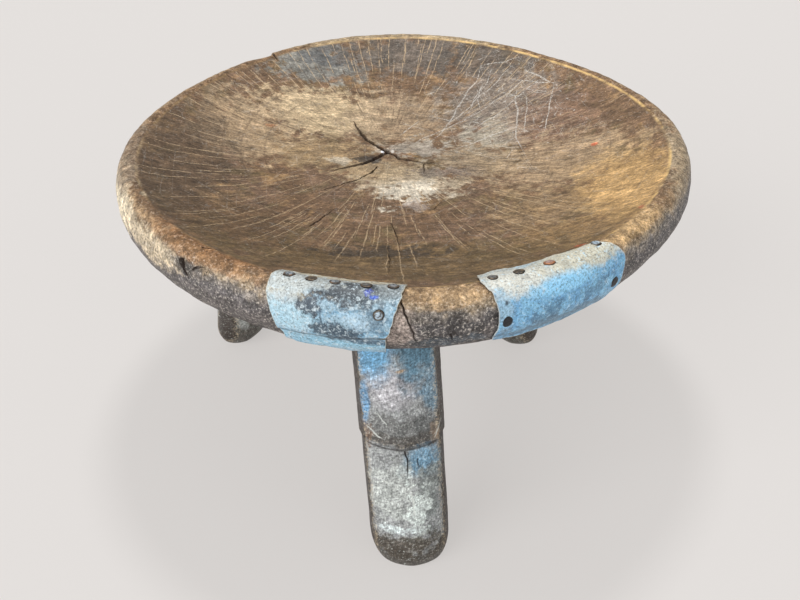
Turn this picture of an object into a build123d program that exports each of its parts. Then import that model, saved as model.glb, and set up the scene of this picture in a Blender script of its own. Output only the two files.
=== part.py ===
from build123d import *
from math import cos, pi, radians, sin, tan
import os

# A three-legged stool carved from one log: a round dished seat on three splayed legs, with
# two sheet-metal repairs nailed over the front of its rim.
# Millimetres and degrees. +Z is up, and the origin is on the floor under the seat's centre.
# Azimuth 0 is +X and 90 is +Y, the back. One leg stands at the front, near azimuth -90.

# Seat
seat_radius = 190.0
seat_height = 237.5  # floor to the crest of the rim
dish_depth = 34.0
dish_edge_slope = 28.0  # the dish starts this steep, where it leaves the rim
seat_thickness = 30.0  # at the middle
underside_edge_slope = 30.0
middle_radius = 16.0  # small flat at the middle of the dish and of the underside
# The rim's section is a chain of arcs, each over a range of facing angles:
# 0 faces outward, 90 straight up and -90 straight down.
rim_top_radius = 9.0
rim_face_radius = 34.0
rim_bottom_radius = 8.0
rim_face_top = 25.0  # facing angle where the outer face turns into the rounded top
rim_face_bottom = -26.0
# The hewn outline swells and narrows: waves round the rim, height of the wave, azimuth of a swell
swells = ((3, 1.5, -15.5), (4, 2.9, 5.7))
swell_fade = 3  # the waves die out towards the seat's middle with this power of the radius
undercut = 4.0  # the rim's lower edge is hewn in by up to this much, most of it near one side
undercut_azimuth = -60.0
outline_points = 24  # points on each level curve of the seat
rim_count = 17  # level curves round the rim's section
level_count = 11  # level curves down the dish, and as many under it
level_spread = 1.8  # over 1 sets these curves closer together near the rim

# Legs
leg_width = 54.4  # across the leg, seen from outside
leg_depth = 42.0  # from the outer ridge to the inner face
ridge_rise = 8.5  # the outer ridge stands this far proud of the outer corners
outer_corner_width = 46.5
inner_face_width = 34.0
widest_line = 19.0  # from the outer ridge to where the leg is widest
collar_height = 97.0  # underside of the collar, over the floor
collar_flare = 1.02  # the faceted part grows by this much down to its collar
step_inset = 0.4  # the lower part is this much slimmer all round than the leg's root
lower_rounding = 0.75  # how far the lower part's section is drawn from facets to an ellipse
foot_rise = 21.0  # height of the rounding round the foot
foot_inset = 12.5  # how far it draws in
foot_count = 7  # sections down that rounding
root_cover = 12.0  # wood between a leg's buried top and the dish
leg_blend = 6.0  # fillet where a leg leaves the seat
# Each leg: its azimuth, the distance of its foot from the seat's axis, and how far it leans
# inwards and to its own left on its way up
legs = {
    "front": (-89.3, 163.5, 14.9, 3.0),
    "right": (37.2, 122.6, 9.0, 0.0),
    "left": (150.8, 168.0, 9.0, 0.0),
}

# Sheet metal and fasteners
sheet_thickness = 0.8
sheet_gap = 0.2  # between the sheet and the wood
sheet_top_run = 5.0  # the sheet's top edge lies this far down the dish
sheet_low = -50.0  # facing angle at the sheet's lower edge
sheet_count = 9  # sections along a sheet, each of them across the rim
bend_count = 14  # points round the bend in each section
tack_head_diameter = 6.7
tack_head_height = 1.5
nail_head_diameter = 6.3
nail_head_height = 1.2
head_shoulder = (0.72, 0.55)  # a head's dome passes here, in parts of its radius and height
head_gap = 0.1  # under a head
shank_diameter = 1.8
shank_length = 13.0
point_length = 3.0
shank_gap = 0.15  # all round a shank, in the sheet and in the wood
hole_run = 1.0  # a pilot hole is this much deeper than its nail
tack_facing = 104.0  # the tack row lies just inside the crest

side_trim = 1.5  # degrees of sheet cut away beyond each side edge
probe = 0.5  # degrees between points that measure how the rim's surface lies
# Each patch: azimuths of its left and right edges, each at the top and at the bottom
patch_edges = {
    "left_patch": ((-113.5, -111.0), (-90.0, -93.4)),
    "right_patch": ((-76.8, -75.5), (-50.4, -49.9)),
}
rim_tacks = {
    "left_patch": (-110.8, -106.5, -102.3, -96.8, -92.2),
    "right_patch": (-75.0, -70.0, -63.8, -52.9),
}
# Nails in the face of each patch: azimuth and facing angle
face_nails = {
    "left_patch": ((-94.4, 19.0),),
    "right_patch": ((-73.9, 2.0), (-51.7, 0.0)),
}

rim_inner_facing = 90 + dish_edge_slope
rim_outer_facing = underside_edge_slope - 90


def arc_run(start, end, radius):
    """Outward and upward travel along an arc between two facing angles."""
    run_out = radius * (cos(radians(end)) - cos(radians(start)))
    run_up = radius * (sin(radians(end)) - sin(radians(start)))
    return run_out, run_up


def rim_run(facing):
    """Travel along the rim's section from its outermost point to a facing angle."""
    up = facing >= 0
    turn = rim_face_top if up else rim_face_bottom
    end_radius = rim_top_radius if up else rim_bottom_radius
    face_end = min(facing, turn) if up else max(facing, turn)
    run_out, run_up = arc_run(0, face_end, rim_face_radius)
    if face_end != facing:
        more_out, more_up = arc_run(turn, facing, end_radius)
        run_out, run_up = run_out + more_out, run_up + more_up
    return run_out, run_up


crest_run = rim_run(90)[1]


def rim_point(facing, offset=0.0):
    """Radius and height of a point on the rim's section, or off it along its normal."""
    run_out, run_up = rim_run(facing)
    radius = seat_radius + run_out + offset * cos(radians(facing))
    height = seat_height - crest_run + run_up + offset * sin(radians(facing))
    return radius, height


dish_radius, dish_edge_height = rim_point(rim_inner_facing)
dish_floor = seat_height - dish_depth
dish_power = tan(radians(dish_edge_slope)) * dish_radius / (dish_edge_height - dish_floor)
underside_radius, underside_edge_height = rim_point(rim_outer_facing)
underside_floor = dish_floor - seat_thickness
outermost_height = seat_height - crest_run
underside_rise = underside_edge_height - underside_floor
underside_power = tan(radians(underside_edge_slope)) * underside_radius / underside_rise


def dish_height(radius):
    return dish_floor + (dish_edge_height - dish_floor) * (radius / dish_radius) ** dish_power


def underside_height(radius):
    return underside_floor + underside_rise * (radius / underside_radius) ** underside_power


def hewn_point(radius, azimuth, height):
    """A point of the seat, with its radius moved by the swells and the undercut of the outline."""
    fade = (radius / seat_radius) ** swell_fade
    swell = sum(rise * cos(waves * radians(azimuth - at)) for waves, rise, at in swells)
    low = (outermost_height - height) / (outermost_height - underside_edge_height)
    low = min(max(low, 0.0), 1.0)
    near = (0.5 + 0.5 * cos(radians(azimuth - undercut_azimuth))) ** 2
    reach = radius + (swell - undercut * near * low**2 * (3 - 2 * low)) * fade
    return Vector(reach * cos(radians(azimuth)), reach * sin(radians(azimuth)), height)


def spaced(start, end, count, power=1.0):
    """Values from start to end, set closer together near start where the power is over 1."""
    return [start + (end - start) * (step / (count - 1)) ** power for step in range(count)]


def level_curve(radius, height):
    """One closed level curve of the seat."""
    azimuths = [360 * step / outline_points for step in range(outline_points)]
    points = [hewn_point(radius, azimuth, height) for azimuth in azimuths]
    return Wire([Edge.make_spline(points, periodic=True)])


def seat():
    """The dished seat, lofted through level curves from its underside round the rim to the dish."""
    under_radii = spaced(underside_radius, middle_radius, level_count, level_spread)[1:]
    dish_radii = spaced(dish_radius, middle_radius, level_count, level_spread)[1:]
    under = [(radius, underside_height(radius)) for radius in reversed(under_radii)]
    rim = [rim_point(facing) for facing in spaced(rim_outer_facing, rim_inner_facing, rim_count)]
    dish = [(radius, dish_height(radius)) for radius in dish_radii]
    return Solid.make_loft([level_curve(*station) for station in under + rim + dish])


def leg_corners(width_scale=1.0, inset=0.0):
    """The faceted section of a leg, half of it: across and outward from the section's middle."""
    outward = leg_depth / 2
    half = [
        (0.0, outward),
        (outer_corner_width / 2, outward - ridge_rise),
        (leg_width / 2, outward - widest_line),
        (inner_face_width / 2, -outward),
    ]
    shrink = [1 - 2 * inset / leg_width, 1 - 2 * inset / leg_depth]
    return [(x * width_scale * shrink[0], y * width_scale * shrink[1]) for x, y in half]


def leg_plane(place, height):
    """A level plane across a leg, with its x axis across the leg and its y axis outward."""
    azimuth, foot_distance, splay, side_lean = place
    outward = Vector(cos(radians(azimuth)), sin(radians(azimuth)), 0)
    across = Vector(sin(radians(azimuth)), -cos(radians(azimuth)), 0)
    inwards, sideways = height * tan(radians(splay)), height * tan(radians(side_lean))
    origin = outward * (foot_distance - inwards) + across * sideways + Vector(0, 0, height)
    return Plane(origin=origin, x_dir=across, z_dir=(0, 0, 1))


def faceted_section(plane, width_scale):
    half = leg_corners(width_scale)
    corners = half + [(-x, y) for x, y in reversed(half[1:])]
    return Wire.make_polygon([plane.from_local_coords((x, y, 0)) for x, y in corners])


def rounded_section(plane, inset):
    """The lower part's section: the facets' outline, drawn some way towards an ellipse."""
    half = leg_corners(1.0, inset)
    corners = half + [(-x, y) for x, y in reversed(half[1:])]
    points = []
    for (x0, y0), (x1, y1) in zip(corners, corners[1:] + corners[:1]):
        for x, y in ((x0, y0), ((x0 + x1) / 2, (y0 + y1) / 2)):
            ellipse_x, ellipse_y = leg_width / 2 - inset, leg_depth / 2 - inset
            size = ((x / ellipse_x) ** 2 + (y / ellipse_y) ** 2) ** 0.5
            pull = 1 + lower_rounding * (1 / size - 1)
            points.append(plane.from_local_coords((x * pull, y * pull, 0)))
    return Wire([Edge.make_spline(points, periodic=True)])


def leg(place):
    """A leg: a faceted upper part with a collar, and a softer lower part with a rounded foot."""
    under_seat = leg_plane(place, seat_height).origin
    root_height = dish_height((under_seat.X**2 + under_seat.Y**2) ** 0.5) - root_cover
    upper = Solid.make_loft(
        [
            faceted_section(leg_plane(place, root_height), 1.0),
            faceted_section(leg_plane(place, collar_height), collar_flare),
        ],
        ruled=True,
    )
    shaft_planes = [leg_plane(place, height) for height in (foot_rise, collar_height + root_cover)]
    shaft = Solid.make_loft([rounded_section(plane, step_inset) for plane in shaft_planes], ruled=True)
    foot_sections = []
    for turn in spaced(0, pi / 2, foot_count):
        plane = leg_plane(place, foot_rise * (1 - sin(turn)))
        foot_sections.append(rounded_section(plane, step_inset + foot_inset * (1 - cos(turn))))
    return upper + shaft + Solid.make_loft(foot_sections)


def rim_plane(azimuth, facing, offset):
    """A plane off the rim: its z axis along the surface's normal, its x axis round the rim."""
    radius, height = rim_point(facing)
    here = hewn_point(radius, azimuth, height)
    beside = hewn_point(radius, azimuth + probe, height)
    radius_above, height_above = rim_point(facing + probe)
    above = hewn_point(radius_above, azimuth, height_above)
    along = (beside - here).normalized()
    normal = along.cross(above - here).normalized()
    return Plane(origin=here + normal * offset, x_dir=along, z_dir=normal)


def fastener(head_diameter, head_height):
    """A nail with a low domed head, its shank pointing down its own z axis."""
    head, shank = head_diameter / 2, shank_diameter / 2
    top, tip = (0, 0, head_height), (0, 0, -shank_length)
    shoulder = (head * head_shoulder[0], 0, head_height * head_shoulder[1])
    corners = [(head, 0, 0), (shank, 0, 0), (shank, 0, point_length - shank_length), tip, top]
    dome = Edge.make_three_point_arc(top, shoulder, corners[0])
    sides = [Edge.make_line(start, end) for start, end in zip(corners, corners[1:])]
    return revolve(Face(Wire([dome, *sides])), Axis.Z)


def fastener_planes(patch):
    """Where the tacks and the face nails of a patch sit, on top of its sheet."""
    offset = sheet_gap + sheet_thickness + head_gap
    tacks = [rim_plane(azimuth, tack_facing, offset) for azimuth in rim_tacks[patch]]
    nails = [rim_plane(azimuth, facing, offset) for azimuth, facing in face_nails[patch]]
    return tacks, nails


def pilot_holes(patch):
    """Holes for the shanks of a patch's fasteners, through its sheet and into the wood."""
    tacks, nails = fastener_planes(patch)
    radius, depth = shank_diameter / 2 + shank_gap, shank_length + hole_run
    drill = Cylinder(radius, depth, align=(Align.CENTER, Align.CENTER, Align.MAX))
    return [plane * drill for plane in tacks + nails]


def strip_edge(azimuth, offset):
    """A line across the rim, off the wood, from the sheet's lower edge to its top edge."""
    facings = spaced(sheet_low, rim_inner_facing, bend_count)
    stations = [rim_point(facing, offset) for facing in facings]
    slope = radians(dish_edge_slope)
    radius, height = stations[-1]
    stations.append((radius - sheet_top_run * cos(slope), height - sheet_top_run * sin(slope)))
    return [hewn_point(radius, azimuth, height) for radius, height in stations]


def side_plane(edge, middle_azimuth):
    """The plane through one side edge of a patch, with the patch on its positive side."""
    top_azimuth, low_azimuth = edge
    top = hewn_point(rim_point(rim_inner_facing)[0], top_azimuth, rim_point(rim_inner_facing)[1])
    low = hewn_point(rim_point(sheet_low)[0], low_azimuth, rim_point(sheet_low)[1])
    axis_point = Vector(0, 0, seat_height)
    normal = (top - axis_point).cross(low - axis_point).normalized()
    middle = hewn_point(seat_radius, middle_azimuth, seat_height)
    if normal.dot(middle - top) < 0:
        normal = normal * -1
    return Plane(origin=top, z_dir=normal)


def sheet(patch):
    """A sheet bent over the rim, from under its outer face to the top of the dish."""
    left, right = patch_edges[patch]
    first, last = min(left) - side_trim, max(right) + side_trim
    sections = []
    for azimuth in spaced(first, last, sheet_count):
        inner = strip_edge(azimuth, sheet_gap)
        outer = strip_edge(azimuth, sheet_gap + sheet_thickness)
        edges = [
            Edge.make_spline(inner),
            Edge.make_line(inner[-1], outer[-1]),
            Edge.make_spline(outer[::-1]),
            Edge.make_line(outer[0], inner[0]),
        ]
        sections.append(Wire(edges))
    strip = Solid.make_loft(sections)
    middle_azimuth = (first + last) / 2
    for edge in (left, right):
        strip = split(strip, side_plane(edge, middle_azimuth), Keep.TOP)
    return strip - pilot_holes(patch)


def leg_roots(body):
    """The edges where the legs leave the underside of the seat."""
    roots = []
    for edge in body.edges():
        middle = edge.center()
        from_axis = (middle.X**2 + middle.Y**2) ** 0.5
        if underside_floor <= middle.Z <= underside_edge_height and from_axis > 2 * middle_radius:
            roots.append(edge)
    return roots


def stool_body():
    """The seat and its three legs, which are one piece of wood."""
    body = seat()
    for place in legs.values():
        body = body + leg(place)
    body = body.fillet(leg_blend, leg_roots(body))
    for patch in patch_edges:
        body = body - pilot_holes(patch)
    return body


def write(name, solids):
    export_step(Compound(children=solids), f"parts/{name}.step")


os.makedirs("parts", exist_ok=True)
write("stool_body", [stool_body()])
for patch in patch_edges:
    tack_planes, nail_planes = fastener_planes(patch)
    tack = fastener(tack_head_diameter, tack_head_height)
    nail = fastener(nail_head_diameter, nail_head_height)
    write(patch, [sheet(patch)])
    write(f"{patch}_rim_tacks", [plane * tack for plane in tack_planes])
    write(f"{patch}_face_nails", [plane * nail for plane in nail_planes])
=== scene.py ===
import math

import bmesh
import bpy
import numpy as np
from mathutils import Matrix, Vector


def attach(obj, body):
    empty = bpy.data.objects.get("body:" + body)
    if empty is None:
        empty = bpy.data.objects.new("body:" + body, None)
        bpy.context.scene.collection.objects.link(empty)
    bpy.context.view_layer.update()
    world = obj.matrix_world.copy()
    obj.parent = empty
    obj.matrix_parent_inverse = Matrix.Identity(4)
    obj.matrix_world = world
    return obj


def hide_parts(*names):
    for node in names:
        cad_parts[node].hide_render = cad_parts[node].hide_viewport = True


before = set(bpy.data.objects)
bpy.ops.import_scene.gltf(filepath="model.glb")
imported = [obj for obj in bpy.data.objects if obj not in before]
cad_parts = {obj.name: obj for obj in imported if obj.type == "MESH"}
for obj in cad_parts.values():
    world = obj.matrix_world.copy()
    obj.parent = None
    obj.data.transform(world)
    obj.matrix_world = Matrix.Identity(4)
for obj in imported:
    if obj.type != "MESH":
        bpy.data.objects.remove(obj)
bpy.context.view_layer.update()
mm = 0.001  # sizes below are in millimetres, and meshes in metres


def smoothStep(low, high, value):
    t = np.clip((value - low) / (high - low), 0.0, 1.0)
    return t * t * (3.0 - 2.0 * t)


def latticeNoise(points, cell, seed, octaves=1, gain=0.5):
    # smooth noise between -1 and 1, the same on every run; cell is the size of its largest lumps
    total = np.zeros(len(points))
    height, spread = 1.0, 0.0
    for octave in range(octaves):
        scaled = points / cell * 2.0**octave + seed * 17.31 + octave * 5.7
        base = np.floor(scaled).astype(np.int64)
        part = scaled - base
        part = part * part * part * (part * (part * 6.0 - 15.0) + 10.0)
        value = np.zeros(len(points))
        for corner in range(8):
            step = np.array([corner & 1, corner >> 1 & 1, corner >> 2 & 1])
            grid = base + step
            mixed = grid[:, 0] * 73856093 ^ grid[:, 1] * 19349663 ^ grid[:, 2] * 83492791
            mixed = (mixed ^ mixed >> 13) * 1274126177 & 0x7FFFFFFF
            mixed = (mixed ^ mixed >> 16) * 668265263 & 0x7FFFFFFF
            weight = np.prod(np.where(step == 1, part, 1.0 - part), axis=1)
            value += weight * (mixed / 0x3FFFFFFF - 1.0)
        total += value * height
        spread += height
        height *= gain
    return total / spread


def addObject(name, data):
    made = bpy.data.objects.new(name, data)
    bpy.context.scene.collection.objects.link(made)
    return made


def ringsMesh(name, rings, start, end):
    # a closed skin through rings of points, with a fan to the middle point of each end
    rows, columns = rings.shape[:2]
    points = rings.reshape(-1, 3)
    index = np.arange(rows * columns).reshape(rows, columns)
    lower, upper = index[:-1], index[1:]
    quads = np.stack([lower, np.roll(lower, -1, 1), np.roll(upper, -1, 1), upper], -1)
    faces = quads.reshape(-1, 4).tolist()
    for middle, ring, turn in ((start, index[0], 1), (end, index[-1], -1)):
        points = np.vstack([points, middle])
        tips = np.full(columns, len(points) - 1)
        faces += np.stack([*(np.roll(ring, -1), ring)[::turn], tips], -1).tolist()
    mesh = bpy.data.meshes.new(name)
    mesh.from_pydata((points * mm).tolist(), [], faces)
    mesh.validate()
    return addObject(name, mesh)


def readPoints(mesh):
    flat = np.zeros(len(mesh.vertices) * 3)
    mesh.vertices.foreach_get("co", flat)
    return flat.reshape(-1, 3) / mm


def readNormals(mesh):
    flat = np.zeros(len(mesh.vertices) * 3)
    mesh.vertex_normals.foreach_get("vector", flat)
    return flat.reshape(-1, 3)


def writePoints(mesh, points):
    mesh.vertices.foreach_set("co", (points * mm).ravel())
    mesh.update()


def writeMask(mesh, name, values):
    mask = mesh.attributes.new(name, "FLOAT", "POINT")
    mask.data.foreach_set("value", np.ascontiguousarray(values, dtype=np.float32))


def smoothShaded(mesh):
    mesh.polygons.foreach_set("use_smooth", np.ones(len(mesh.polygons), dtype=bool))


seatShape = {
    "radius": 190.0,
    "crestHeight": 237.5,
    "dishDepth": 34.0,
    "dishSlope": 28.0,
    "thickness": 30.0,
    "underSlope": 30.0,
    # facing angles and radius of each arc round the rim: 0 faces outward, 90 up
    "arcs": ((-60.0, -26.0, 8.0), (-26.0, 25.0, 34.0), (25.0, 118.0, 9.0)),
    # waves of the hewn outline: how many, how high, and the azimuth of one crest
    "swells": ((3, 1.5, -15.5), (4, 2.9, 5.7)),
    "swellFade": 3,
    "undercut": (4.0, -60.0),  # how far the rim's lower edge is hewn in, and near which azimuth
    "pith": (-10.8, 36.6),
    "sectionPoints": 350,  # along the dish and along the underside
    "rimCore": (20.0, 18.0),  # a point inside the rim, this far inwards and below the crest
    "columns": 840,
    "dishRows": 140,
    "rimStep": 1.15,
    "underStep": 3.0,
}


def rimRun(facing):
    out, up = np.zeros_like(facing), np.zeros_like(facing)
    for low, high, radius in seatShape["arcs"]:
        here = np.radians(np.clip(facing, low, high))
        start = math.radians(min(max(0.0, low), high))
        out = out + radius * (np.cos(here) - math.cos(start))
        up = up + radius * (np.sin(here) - math.sin(start))
    return out, up


def makeSection():
    # the seat's section from the middle of its underside, round the rim, to the middle of the dish
    shape = seatShape
    crestRise = float(rimRun(np.array([90.0]))[1][0])
    facing = np.arange(-90.0 + shape["underSlope"], 90.0 + shape["dishSlope"] + 0.1, 0.5)
    out, up = rimRun(facing)
    rimRadius, rimHeight = shape["radius"] + out, shape["crestHeight"] - crestRise + up
    dishFloor = shape["crestHeight"] - shape["dishDepth"]
    dishRise = rimHeight[-1] - dishFloor
    dishPower = math.tan(math.radians(shape["dishSlope"])) * rimRadius[-1] / dishRise
    underFloor = dishFloor - shape["thickness"]
    underRise = rimHeight[0] - underFloor
    underPower = math.tan(math.radians(shape["underSlope"])) * rimRadius[0] / underRise
    dish = np.linspace(rimRadius[-1], 0.0, shape["sectionPoints"])[1:]
    under = np.linspace(0.0, rimRadius[0], shape["sectionPoints"])[:-1]
    dishHeight = dishFloor + dishRise * (dish / rimRadius[-1]) ** dishPower
    underHeight = underFloor + underRise * (under / rimRadius[0]) ** underPower
    radius = np.concatenate([under, rimRadius, dish])
    height = np.concatenate([underHeight, rimHeight, dishHeight])
    travel = np.concatenate([[0.0], np.cumsum(np.hypot(np.diff(radius), np.diff(height)))])
    rimTravel = travel[len(under) : len(under) + len(facing)]
    travel -= np.interp(0.0, facing, rimTravel)
    alongOut, alongUp = np.gradient(radius, travel), np.gradient(height, travel)
    size = np.hypot(alongOut, alongUp)
    return {
        "travel": travel,
        "radius": radius,
        "height": height,
        "normalOut": alongUp / size,
        "normalUp": -alongOut / size,
        "facing": facing,
        "rimTravel": rimTravel,
        "rimStart": rimTravel[0],
        "dishEdge": rimTravel[-1],
        "outermost": shape["crestHeight"] - crestRise,
        "underEdge": rimHeight[0],
        "dishEdgeRadius": rimRadius[-1],
        "underEdgeRadius": rimRadius[0],
        "dish": (dish[::-1], dishHeight[::-1]),
        "under": (under, underHeight),
    }


section = makeSection()


def hewing(azimuth, low=0.0):
    # how far the outline lies off a round one
    # low is 0 down to the rim's outermost line and 1 under the seat
    swells = seatShape["swells"]
    swell = sum(rise * np.cos(waves * (azimuth - math.radians(at))) for waves, rise, at in swells)
    depth, at = seatShape["undercut"]
    near = (0.5 + 0.5 * np.cos(azimuth - math.radians(at))) ** 2
    return swell - depth * near * low**2 * (3 - 2 * low)


def lowShare(height):
    return np.clip((section["outermost"] - height) / (section["outermost"] - section["underEdge"]), 0.0, 1.0)


def seatSurface(travel, azimuth, offset=0.0):
    # a point on the seat, or off it: travel in mm up the section from the rim's outermost line
    radius = np.interp(travel, section["travel"], section["radius"])
    height = np.interp(travel, section["travel"], section["height"])
    radius = radius + offset * np.interp(travel, section["travel"], section["normalOut"])
    height = height + offset * np.interp(travel, section["travel"], section["normalUp"])
    low = lowShare(height) * (np.asarray(travel) < 0)
    reach = radius + hewing(azimuth, low) * (radius / seatShape["radius"]) ** seatShape["swellFade"]
    height = np.broadcast_to(height, reach.shape)
    return np.stack([reach * np.cos(azimuth), reach * np.sin(azimuth), height], -1)


def plainRadius(points, low=0.0):
    # the radius that a point would have on a truly round seat
    reach, azimuth = np.hypot(points[..., 0], points[..., 1]), np.arctan2(points[..., 1], points[..., 0])
    radius = reach
    for _ in range(3):
        radius = reach - hewing(azimuth, low) * (radius / seatShape["radius"]) ** seatShape["swellFade"]
    return radius


def travelOf(points):
    # travel in mm of any point near the seat: by bearing round the rim, and by radius in the dish and below
    radius, height = plainRadius(points, lowShare(points[..., 2])), points[..., 2]
    inwards, below = seatShape["rimCore"]
    coreRadius, coreHeight = seatShape["radius"] - inwards, seatShape["crestHeight"] - below
    beyond = 12.0
    inRim = section["travel"] >= section["rimStart"] - beyond
    inRim &= section["travel"] <= section["dishEdge"] + beyond
    bearing = np.arctan2(section["height"][inRim] - coreHeight, section["radius"][inRim] - coreRadius)
    bearing = np.unwrap(bearing)
    here = np.arctan2(height - coreHeight, radius - coreRadius)
    here = np.where(here < bearing[0] - 0.3, here + 2 * math.pi, here)
    travel = np.interp(here, bearing, section["travel"][inRim])
    dish = section["travel"] >= section["dishEdge"]
    under = section["travel"] <= section["rimStart"]
    dishTravel = np.interp(-radius, -section["radius"][dish], section["travel"][dish])
    underTravel = np.interp(radius, section["radius"][under], section["travel"][under])
    underSide = height < seatShape["crestHeight"] - seatShape["dishDepth"] - 4.0
    top = (radius < section["dishEdgeRadius"]) & ~underSide
    below = (radius < section["underEdgeRadius"] - 6.0) & underSide
    return np.where(top, dishTravel, np.where(below, underTravel, travel))


def dishPoint(x, y):
    spot = np.array([x, y, 0.0])
    height = np.interp(plainRadius(spot), *section["dish"])
    return np.array([x, y, height])


def seatSkin():
    shape = seatShape
    azimuth = np.linspace(math.pi, -math.pi, shape["columns"], endpoint=False)
    pith = np.array([*shape["pith"], 0.0])
    edge = seatSurface(np.full_like(azimuth, section["dishEdge"]), azimuth)
    share = np.linspace(0.0, 1.0, shape["dishRows"] + 1)[1:]
    dish = pith + (edge - pith) * share[:, None, None]
    dish[..., 2] = np.interp(plainRadius(dish), *section["dish"])
    rimRows = int((section["dishEdge"] - section["rimStart"]) / shape["rimStep"])
    rimTravel = np.linspace(section["dishEdge"], section["rimStart"], rimRows + 1)[1:]
    rim = seatSurface(rimTravel[:, None], azimuth[None, :])
    underStart = section["rimStart"] - shape["underStep"]
    underTravel = np.arange(underStart, section["travel"][0] + 2.0, -shape["underStep"])
    under = seatSurface(underTravel[:, None], azimuth[None, :])
    middle = np.array([0.0, 0.0, section["under"][1][0]])
    return ringsMesh("seatWood", np.concatenate([dish, rim, under]), dishPoint(*shape["pith"]), middle)


legShape = {
    "width": 54.4,
    "depth": 42.0,
    "ridgeRise": 8.5,
    "cornerWidth": 46.5,
    "innerWidth": 34.0,
    "widestLine": 19.0,
    "collarHeight": 97.0,
    "collarFlare": 1.02,
    "stepInset": 0.4,
    "lowerRounding": 0.75,
    "footRise": 21.0,
    "footInset": 12.5,
    "rootCover": 12.0,
    "rootBlend": 6.0,
    # azimuth, distance of the foot from the seat's axis, and lean inwards and to its left on the way up
    "places": {
        "front": (-89.3, 163.5, 14.9, 3.0),
        "right": (37.2, 122.6, 9.0, 0.0),
        "left": (150.8, 168.0, 9.0, 0.0),
    },
    "pointsRound": 132,
    "rowStep": 1.5,
    "footRows": 18,
    "blendShare": 0.8,  # the skin is a little tighter than the full blend
}


def legFrame(name):
    turn = math.radians(legShape["places"][name][0])
    outward = np.array([math.cos(turn), math.sin(turn), 0.0])
    across = np.array([math.sin(turn), -math.cos(turn), 0.0])
    return outward, across


def legMiddle(name, height):
    outward, across = legFrame(name)
    _, reach, splay, sideLean = legShape["places"][name]
    inwards, sideways = (height * math.tan(math.radians(angle)) for angle in (splay, sideLean))
    return outward * (reach - inwards) + across * sideways + np.array([0.0, 0.0, height])


def legOutline(growth, inset, rounding):
    # the leg's faceted section, drawn some way towards an ellipse, in mm across and outward
    shape = legShape
    outward = shape["depth"] / 2
    half = [
        (0.0, outward),
        (shape["cornerWidth"] / 2, outward - shape["ridgeRise"]),
        (shape["width"] / 2, outward - shape["widestLine"]),
        (shape["innerWidth"] / 2, -outward),
    ]
    corners = np.array(half + [(-x, y) for x, y in reversed(half[1:])])
    shrink = 1 - 2 * inset / np.array([shape["width"], shape["depth"]])
    corners = corners * shrink * growth
    loop = np.vstack([corners, corners[:1]])
    along = np.concatenate([[0.0], np.cumsum(np.hypot(*np.diff(loop, axis=0).T))])
    at = np.linspace(0.0, along[-1], shape["pointsRound"], endpoint=False)
    for corner in along[:-1]:
        at[np.argmin(np.abs(at - corner))] = corner  # a point on each corner keeps it crisp
    points = np.stack([np.interp(at, along, loop[:, 0]), np.interp(at, along, loop[:, 1])], -1)
    if rounding > 0:
        half = np.array([shape["width"], shape["depth"]]) / 2 - inset
        size = np.hypot(points[:, 0] / half[0], points[:, 1] / half[1])
        points = points * (1 + rounding * (1 / size - 1))[:, None]
        for _ in range(6):
            points = (np.roll(points, 1, 0) + 2 * points + np.roll(points, -1, 0)) / 4
    return points


def legSkin(name):
    shape = legShape
    outward, across = legFrame(name)
    rootReach = np.hypot(*legMiddle(name, seatShape["crestHeight"])[:2])
    rootHeight = float(np.interp(rootReach, *section["dish"])) - shape["rootCover"]
    rows = []
    for height in np.arange(rootHeight, shape["collarHeight"] + 1.0, -shape["rowStep"]):
        growth = np.interp(height, [shape["collarHeight"], rootHeight], [shape["collarFlare"], 1.0])
        rows.append((height, legOutline(growth, 0.0, 0.0)))
    upper = legOutline(shape["collarFlare"], 0.0, 0.0)
    lower = legOutline(1.0, shape["stepInset"], shape["lowerRounding"])
    rows.append((shape["collarHeight"] + 0.5, upper))
    rows.append((shape["collarHeight"], upper * 0.99))
    for share in (0.33, 0.66):
        rows.append((shape["collarHeight"], upper * (1 - share) + lower * share))
    for height in np.arange(shape["collarHeight"] - 0.3, shape["footRise"], -shape["rowStep"]):
        rows.append((height, lower))
    for turn in np.linspace(0.0, math.pi / 2, shape["footRows"]):
        inset = shape["stepInset"] + shape["footInset"] * (1 - math.cos(turn))
        outline = legOutline(1.0, inset, shape["lowerRounding"])
        rows.append((shape["footRise"] * (1 - math.sin(turn)), outline))
    rings = np.array([legMiddle(name, h) + o[:, :1] * across + o[:, 1:] * outward for h, o in rows])
    # the flare into the seat's underside
    under = np.interp(plainRadius(rings, 1.0), *section["under"])
    gap = np.clip(under - rings[..., 2], 0.0, shape["rootBlend"])
    blend = shape["rootBlend"] - np.sqrt(shape["rootBlend"] ** 2 - (shape["rootBlend"] - gap) ** 2)
    middles = np.array([legMiddle(name, h) for h, _ in rows])[:, None, :]
    spoke = rings - middles
    spoke[..., 2] = 0.0
    spoke /= np.linalg.norm(spoke, axis=-1, keepdims=True)
    rings = rings + spoke * blend[..., None] * shape["blendShare"]
    return ringsMesh(name + "Leg", rings, legMiddle(name, rows[0][0]), legMiddle(name, 0.0))


def joinedWood():
    # seat and legs are one piece of wood, so they become one skin
    seat = seatSkin()
    legs = [legSkin(name) for name in legShape["places"]]
    for leg in legs:
        join = seat.modifiers.new(leg.name, "BOOLEAN")
        join.operation = "UNION"
        join.solver = "MANIFOLD"
        join.object = leg
    bpy.context.view_layer.update()
    whole = bpy.data.meshes.new_from_object(seat.evaluated_get(bpy.context.evaluated_depsgraph_get()))
    seat.modifiers.clear()
    seat.data = whole
    for leg in legs:
        bpy.data.objects.remove(leg)
    return seat


wood = joinedWood()
print("wood skin", len(wood.data.vertices), "points")


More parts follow.
